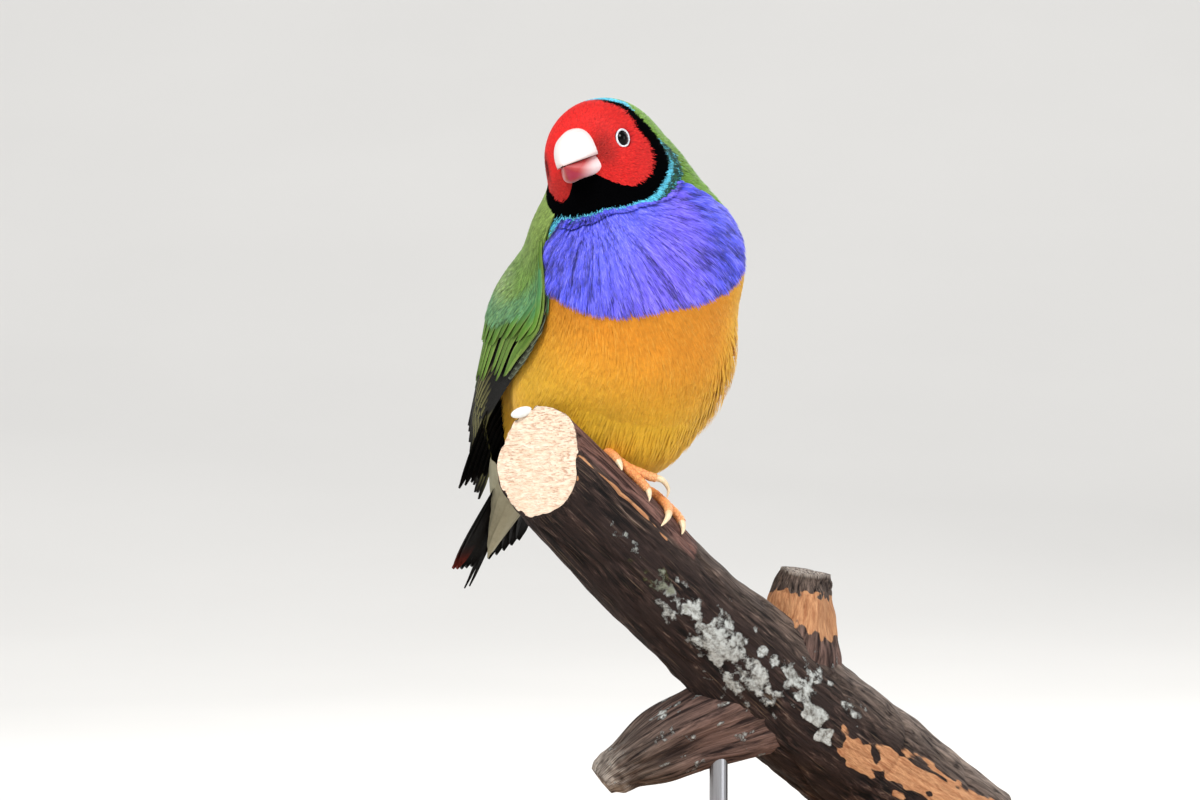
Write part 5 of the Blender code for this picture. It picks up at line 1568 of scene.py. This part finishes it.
# Feet and legs
feet = {
    "place": {"right": (9.8, -24), "left": (17.6, -27)},
    # toes from the hub: distance along the branch, turn round it and height of the toe's middle over the bark
    "toes": {
        "right": (((0, 0, 1.2), (1, 13, 1.1), (2.3, 21, 1.2), (4.1, 25, 1.9), (6.1, 26, 2.9),
                   (7.8, 26, 3.9), (9.6, 26, 3.5), (10.5, 27, 2)),
                  ((0, 4, 1.1), (2, 23, 1), (4, 30, 0.95), (5.6, 34, 0.9), (6.6, 38, 0.8), (7, 44, 0.5),
                   (7.1, 52, 0.3)),
                  ((0, 0, 1.1), (-0.4, 6, 1.15), (-0.3, 14, 1.2), (0.1, 22, 1.05), (0.6, 29, 0.8),
                   (1, 35, 0.5), (1.2, 40, 0.3)),
                  ((0, 0, 1.2), (2, -10, 1.1), (4.2, -18, 1), (6, -24, 0.9), (7.2, -30, 0.7),
                   (8, -36, 0.4), (8.4, -40, 0.25))),
        "left": (((0, 0, 1.15), (1.4, 12, 1.2), (2.6, 24, 1.15), (3.2, 38, 1.05), (3.3, 52, 0.85),
                  (3.1, 62, 0.6), (2.8, 70, 0.3)),
                 ((0, 0, 1.15), (2, 12, 1.15), (4.2, 24, 1.1), (6, 34, 1), (7, 43, 0.85),
                  (7.4, 50, 0.55), (7.4, 57, 0.3)),
                 ((0, 0, 1.3), (2.6, -8, 1.2), (5, -14, 1.1), (7, -20, 0.9), (8.4, -26, 0.6),
                  (9, -32, 0.4), (9.4, -36, 0.25)),
                 ((0, 0, 1.3), (-1.4, -12, 1.1), (-2.8, -24, 1), (-3.8, -34, 0.8), (-4.4, -42, 0.5),
                  (-4.8, -48, 0.35), (-5, -52, 0.25))),
    },
    "radii": (1.05, 0.98, 0.9, 0.84, 0.6, 0.14), "hub": 1.25, "claw": 0.6, "scutes": 15,
    # branch length that the toes' distances go by
    "line": 140,
    "legRise": {"right": (-1, 5, 7), "left": (-4, 3, 7)}, "leg": (1, 1.3),
    "colours": {
        "skin": rgb(242, 162, 92), "pale": rgb(248, 200, 150), "claw": rgb(240, 220, 184),
        "deep": rgb(214, 122, 70),
    },
}


def onPerch(distance, angle, height):
    share = perch["first"] + distance / feet["line"]
    centre, _, ridge, toward, radius = perchAt(share)
    turn = math.radians(angle)
    reach = radius + float(barkSwell(share * perch["length"], np.array(turn))) + height
    return centre + reach * (math.cos(turn) * ridge + math.sin(turn) * toward)


# Rings along a line that keep their turn from one to the next
def tubeRings(points, radii, sides):
    points = np.asarray(points, float)
    run = unit(np.gradient(points, axis=0))
    side = unit(np.cross(run[0], up) + 1e-6)
    rings = []
    turn = fullTurn(sides)[:, None]
    for place, ahead, radius in zip(points, run, radii):
        side = unit(side - ahead * (side @ ahead))
        other = np.cross(ahead, side)
        rings.append(place + radius * (np.cos(turn) * side + np.sin(turn) * other))
    return rings


def buildFoot(hand):
    distance, angle = feet["place"][hand]
    pieces, claws = newStore(), newStore()

    def addTube(store, points, radii, tint, sides=20):
        tint = np.concatenate((tint[:1], tint, tint[-1:]))
        addGrid(store, np.array(capped(tubeRings(points, radii, sides))), np.repeat(tint, sides, axis=0))

    c = feet["colours"]
    for toe in feet["toes"][hand]:
        shares = np.linspace(0.0, 1.0, 90)
        line, radii = [], []
        for share in shares:
            along, around, over = smoothLine(np.array(toe), share)
            radius = float(np.interp(share * 5, range(6), feet["radii"]))
            line.append(onPerch(distance + along, angle + around, over))
            radii.append(radius)
        line, radii = np.array(line), np.array(radii)
        flesh = shares <= feet["claw"] + 0.03
        beat = np.abs(np.sin(shares * feet["scutes"] * math.pi))
        joint = 0.08 * swellAt(shares, 0.24, 0.05) + 0.08 * swellAt(shares, 0.46, 0.05)
        size = radii * (0.92 + 0.08 * beat + joint)
        pad = np.where(shares > feet["claw"] - 0.06, 1.05, 1.0)
        shade = (beat * 0.5 + 0.5)[:, None]
        tint = mixed(c["deep"], c["skin"], shade)
        tipward = blend(0.3, 0.66, shares)[:, None]
        tint = mixed(tint, c["pale"], 0.4 * tipward)
        addTube(pieces, line[flesh], (size * pad)[flesh], tint[flesh])
        horn = shares >= feet["claw"]
        part = (shares[horn] - feet["claw"]) / (1 - feet["claw"])
        clawSize = 0.68 * (1 - part) ** 0.75 + 0.05
        clawTint = mixed(c["pale"], c["claw"], blend(0.0, 0.3, part)[:, None])
        addTube(claws, line[horn], clawSize, clawTint, sides=16)
    hub = onPerch(distance, angle, feet["hub"] + 0.4)
    turn = np.linspace(-1.5, 1.5, 12)
    addTube(pieces, hub + np.outer(np.sin(turn) * feet["hub"], up), feet["hub"] * np.cos(turn) * 1.02 + 0.02,
            np.tile(c["skin"], (12, 1)))
    for label, store, nodes in (("toes", pieces, ("foot_" + hand,)), ("claws", claws, ())):
        piece = storePiece("%s_%s" % (label, hand), store)
        finish(piece, toeMaterial if label == "toes" else clawMaterial, "toe_skin", *nodes)
    rise = np.array(feet["legRise"][hand])
    shares = np.linspace(-0.05, 1.0, 40)
    thin, thick = feet["leg"]
    beat = np.abs(np.sin(shares * 9 * math.pi))
    radii = np.interp(shares, (0.0, 0.3, 1.0), (thin, thin, thick)) * (0.95 + 0.05 * beat)
    rings = tubeRings(hub + rise * shares[:, None], radii, 24)
    tints = [np.tile(c["skin"] * (0.75 + 0.25 * b), (24, 1)) for b in beat]
    finish(loftPiece("shank_" + hand, rings, tints), toeMaterial, "toe_skin", "leg_" + hand)


def scaleFinish(name, roughness, cells, strength):
    shade = Shade(name, Roughness=roughness, Subsurface_Weight=0.12, Subsurface_Scale=0.001)
    scales = shade.node("TexVoronoi", {"feature": "DISTANCE_TO_EDGE"}, Vector=shade.place(), Scale=cells)
    seams = shade.ramp(scales.outputs[0], (0.0, 0.0), (0.12, 1.0))
    colour = shade.tint()
    shaded = shade.mix(strength, colour, shade.mix(seams, rgb(196, 108, 64), colour))
    return shade.done(shaded, seams, strength, 0.0002)


toeMaterial = scaleFinish("toeSkin", 0.5, 1500.0, 0.5)
clawMaterial = scaleFinish("clawHorn", 0.3, 600.0, 0.1)
buildFoot("right")
buildFoot("left")
print("stage: feet")


# Display stand, its solids kept with finer finishes
stand = {"light": rgb(196, 158, 116), "dark": rgb(142, 100, 64), "rod": rgb(176, 176, 180)}


def standFinish():
    wood = Shade("baseWood", Coat_Weight=0.2, Coat_Roughness=0.3)
    flat = wood.drawn(wood.place(), (0.12, 1.0, 1.0))
    colour, grain = wood.wood(flat, stand["light"], stand["dark"], 180.0)
    steel = Shade("rodSteel", Metallic=1.0)
    brush = steel.noise(steel.drawn(steel.place(), (1.0, 1.0, 0.02)), 4000.0)
    lines = steel.ramp(brush, (0.3, stand["rod"] * 0.7), (0.7, stand["rod"]))
    return (wood.done(colour, grain, 0.25, 0.0003, wood.plus(wood.times(grain, 0.25), 0.32)),
            steel.done(lines, rough=steel.plus(steel.times(brush, 0.3), 0.2)))


baseMaterial, rodMaterial = standFinish()
standLooks = {"stand_base": baseMaterial, "stand_rod_1": rodMaterial, "stand_rod_2": rodMaterial}
for standName, standMaterial in standLooks.items():
    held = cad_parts[standName]
    for standSlot in held.material_slots:
        standSlot.material = standMaterial
print("stage: stand")


# Floor and light
studio = {
    "floor": rgb(226, 224, 220), "floorSize": 7, "bend": 2.4, "world": rgb(214, 216, 220),
    "worldStrength": 0.66, "aim": (-0.02, 0, 0.11), "wallAim": (0, 3.3, 0.5),
    "lamps": (("key", (-0.6, -0.95, 1.15), 0.6, 20, (1, 0.98, 0.95)),
              ("fill", (1, -0.8, 0.45), 0.9, 8, (0.94, 0.97, 1)),
              ("back", (0.35, 0.95, 0.85), 0.6, 9, (1, 1, 1)),
              ("wall", (0, 1.3, 1.9), 1.6, 19, (1, 1, 1))),
}


def buildStudio():
    half = studio["floorSize"] / 2 / mm
    # flat floor that curves up far behind into a wall
    turn = np.linspace(0.0, math.pi / 2, 24)
    bend = studio["bend"] / mm
    depth = np.concatenate(([-half], half - bend + bend * np.sin(turn)))
    rise = np.concatenate(([0.0], bend * (1 - np.cos(turn))))
    grid = np.array([[(x, d, r) for x in (-half, half)] for d, r in zip(depth, rise)])
    floor = addPiece("floor", grid.reshape(-1, 3), gridFaces(len(depth), 2, closed=False))
    shade = Shade("floor", Roughness=0.9)
    cloud = shade.noise(shade.place(), 6.0, 3.0)
    colour = shade.ramp(cloud, (0.3, studio["floor"] * 0.97), (0.7, studio["floor"]))
    floor.data.materials.append(shade.done(colour))
    world = bpy.data.worlds.new("studio")
    world.use_nodes = True
    world.node_tree.nodes["Background"].inputs[0].default_value = (*studio["world"], 1.0)
    world.node_tree.nodes["Background"].inputs[1].default_value = studio["worldStrength"]
    bpy.context.scene.world = world
    for name, place, size, power, colour in studio["lamps"]:
        data = bpy.data.lights.new(name, "AREA")
        data.size, data.energy, data.color = size, power, colour
        lamp = bpy.data.objects.new(name, data)
        bpy.context.scene.collection.objects.link(lamp)
        lamp.location = place
        toward = unit(np.array(place) - studio["wallAim" if name == "wall" else "aim"])
        tilt, turn = math.acos(toward[2]), math.atan2(toward[1], toward[0]) + math.pi / 2
        lamp.rotation_euler = (tilt, 0.0, turn)


buildStudio()
print("stage: studio")
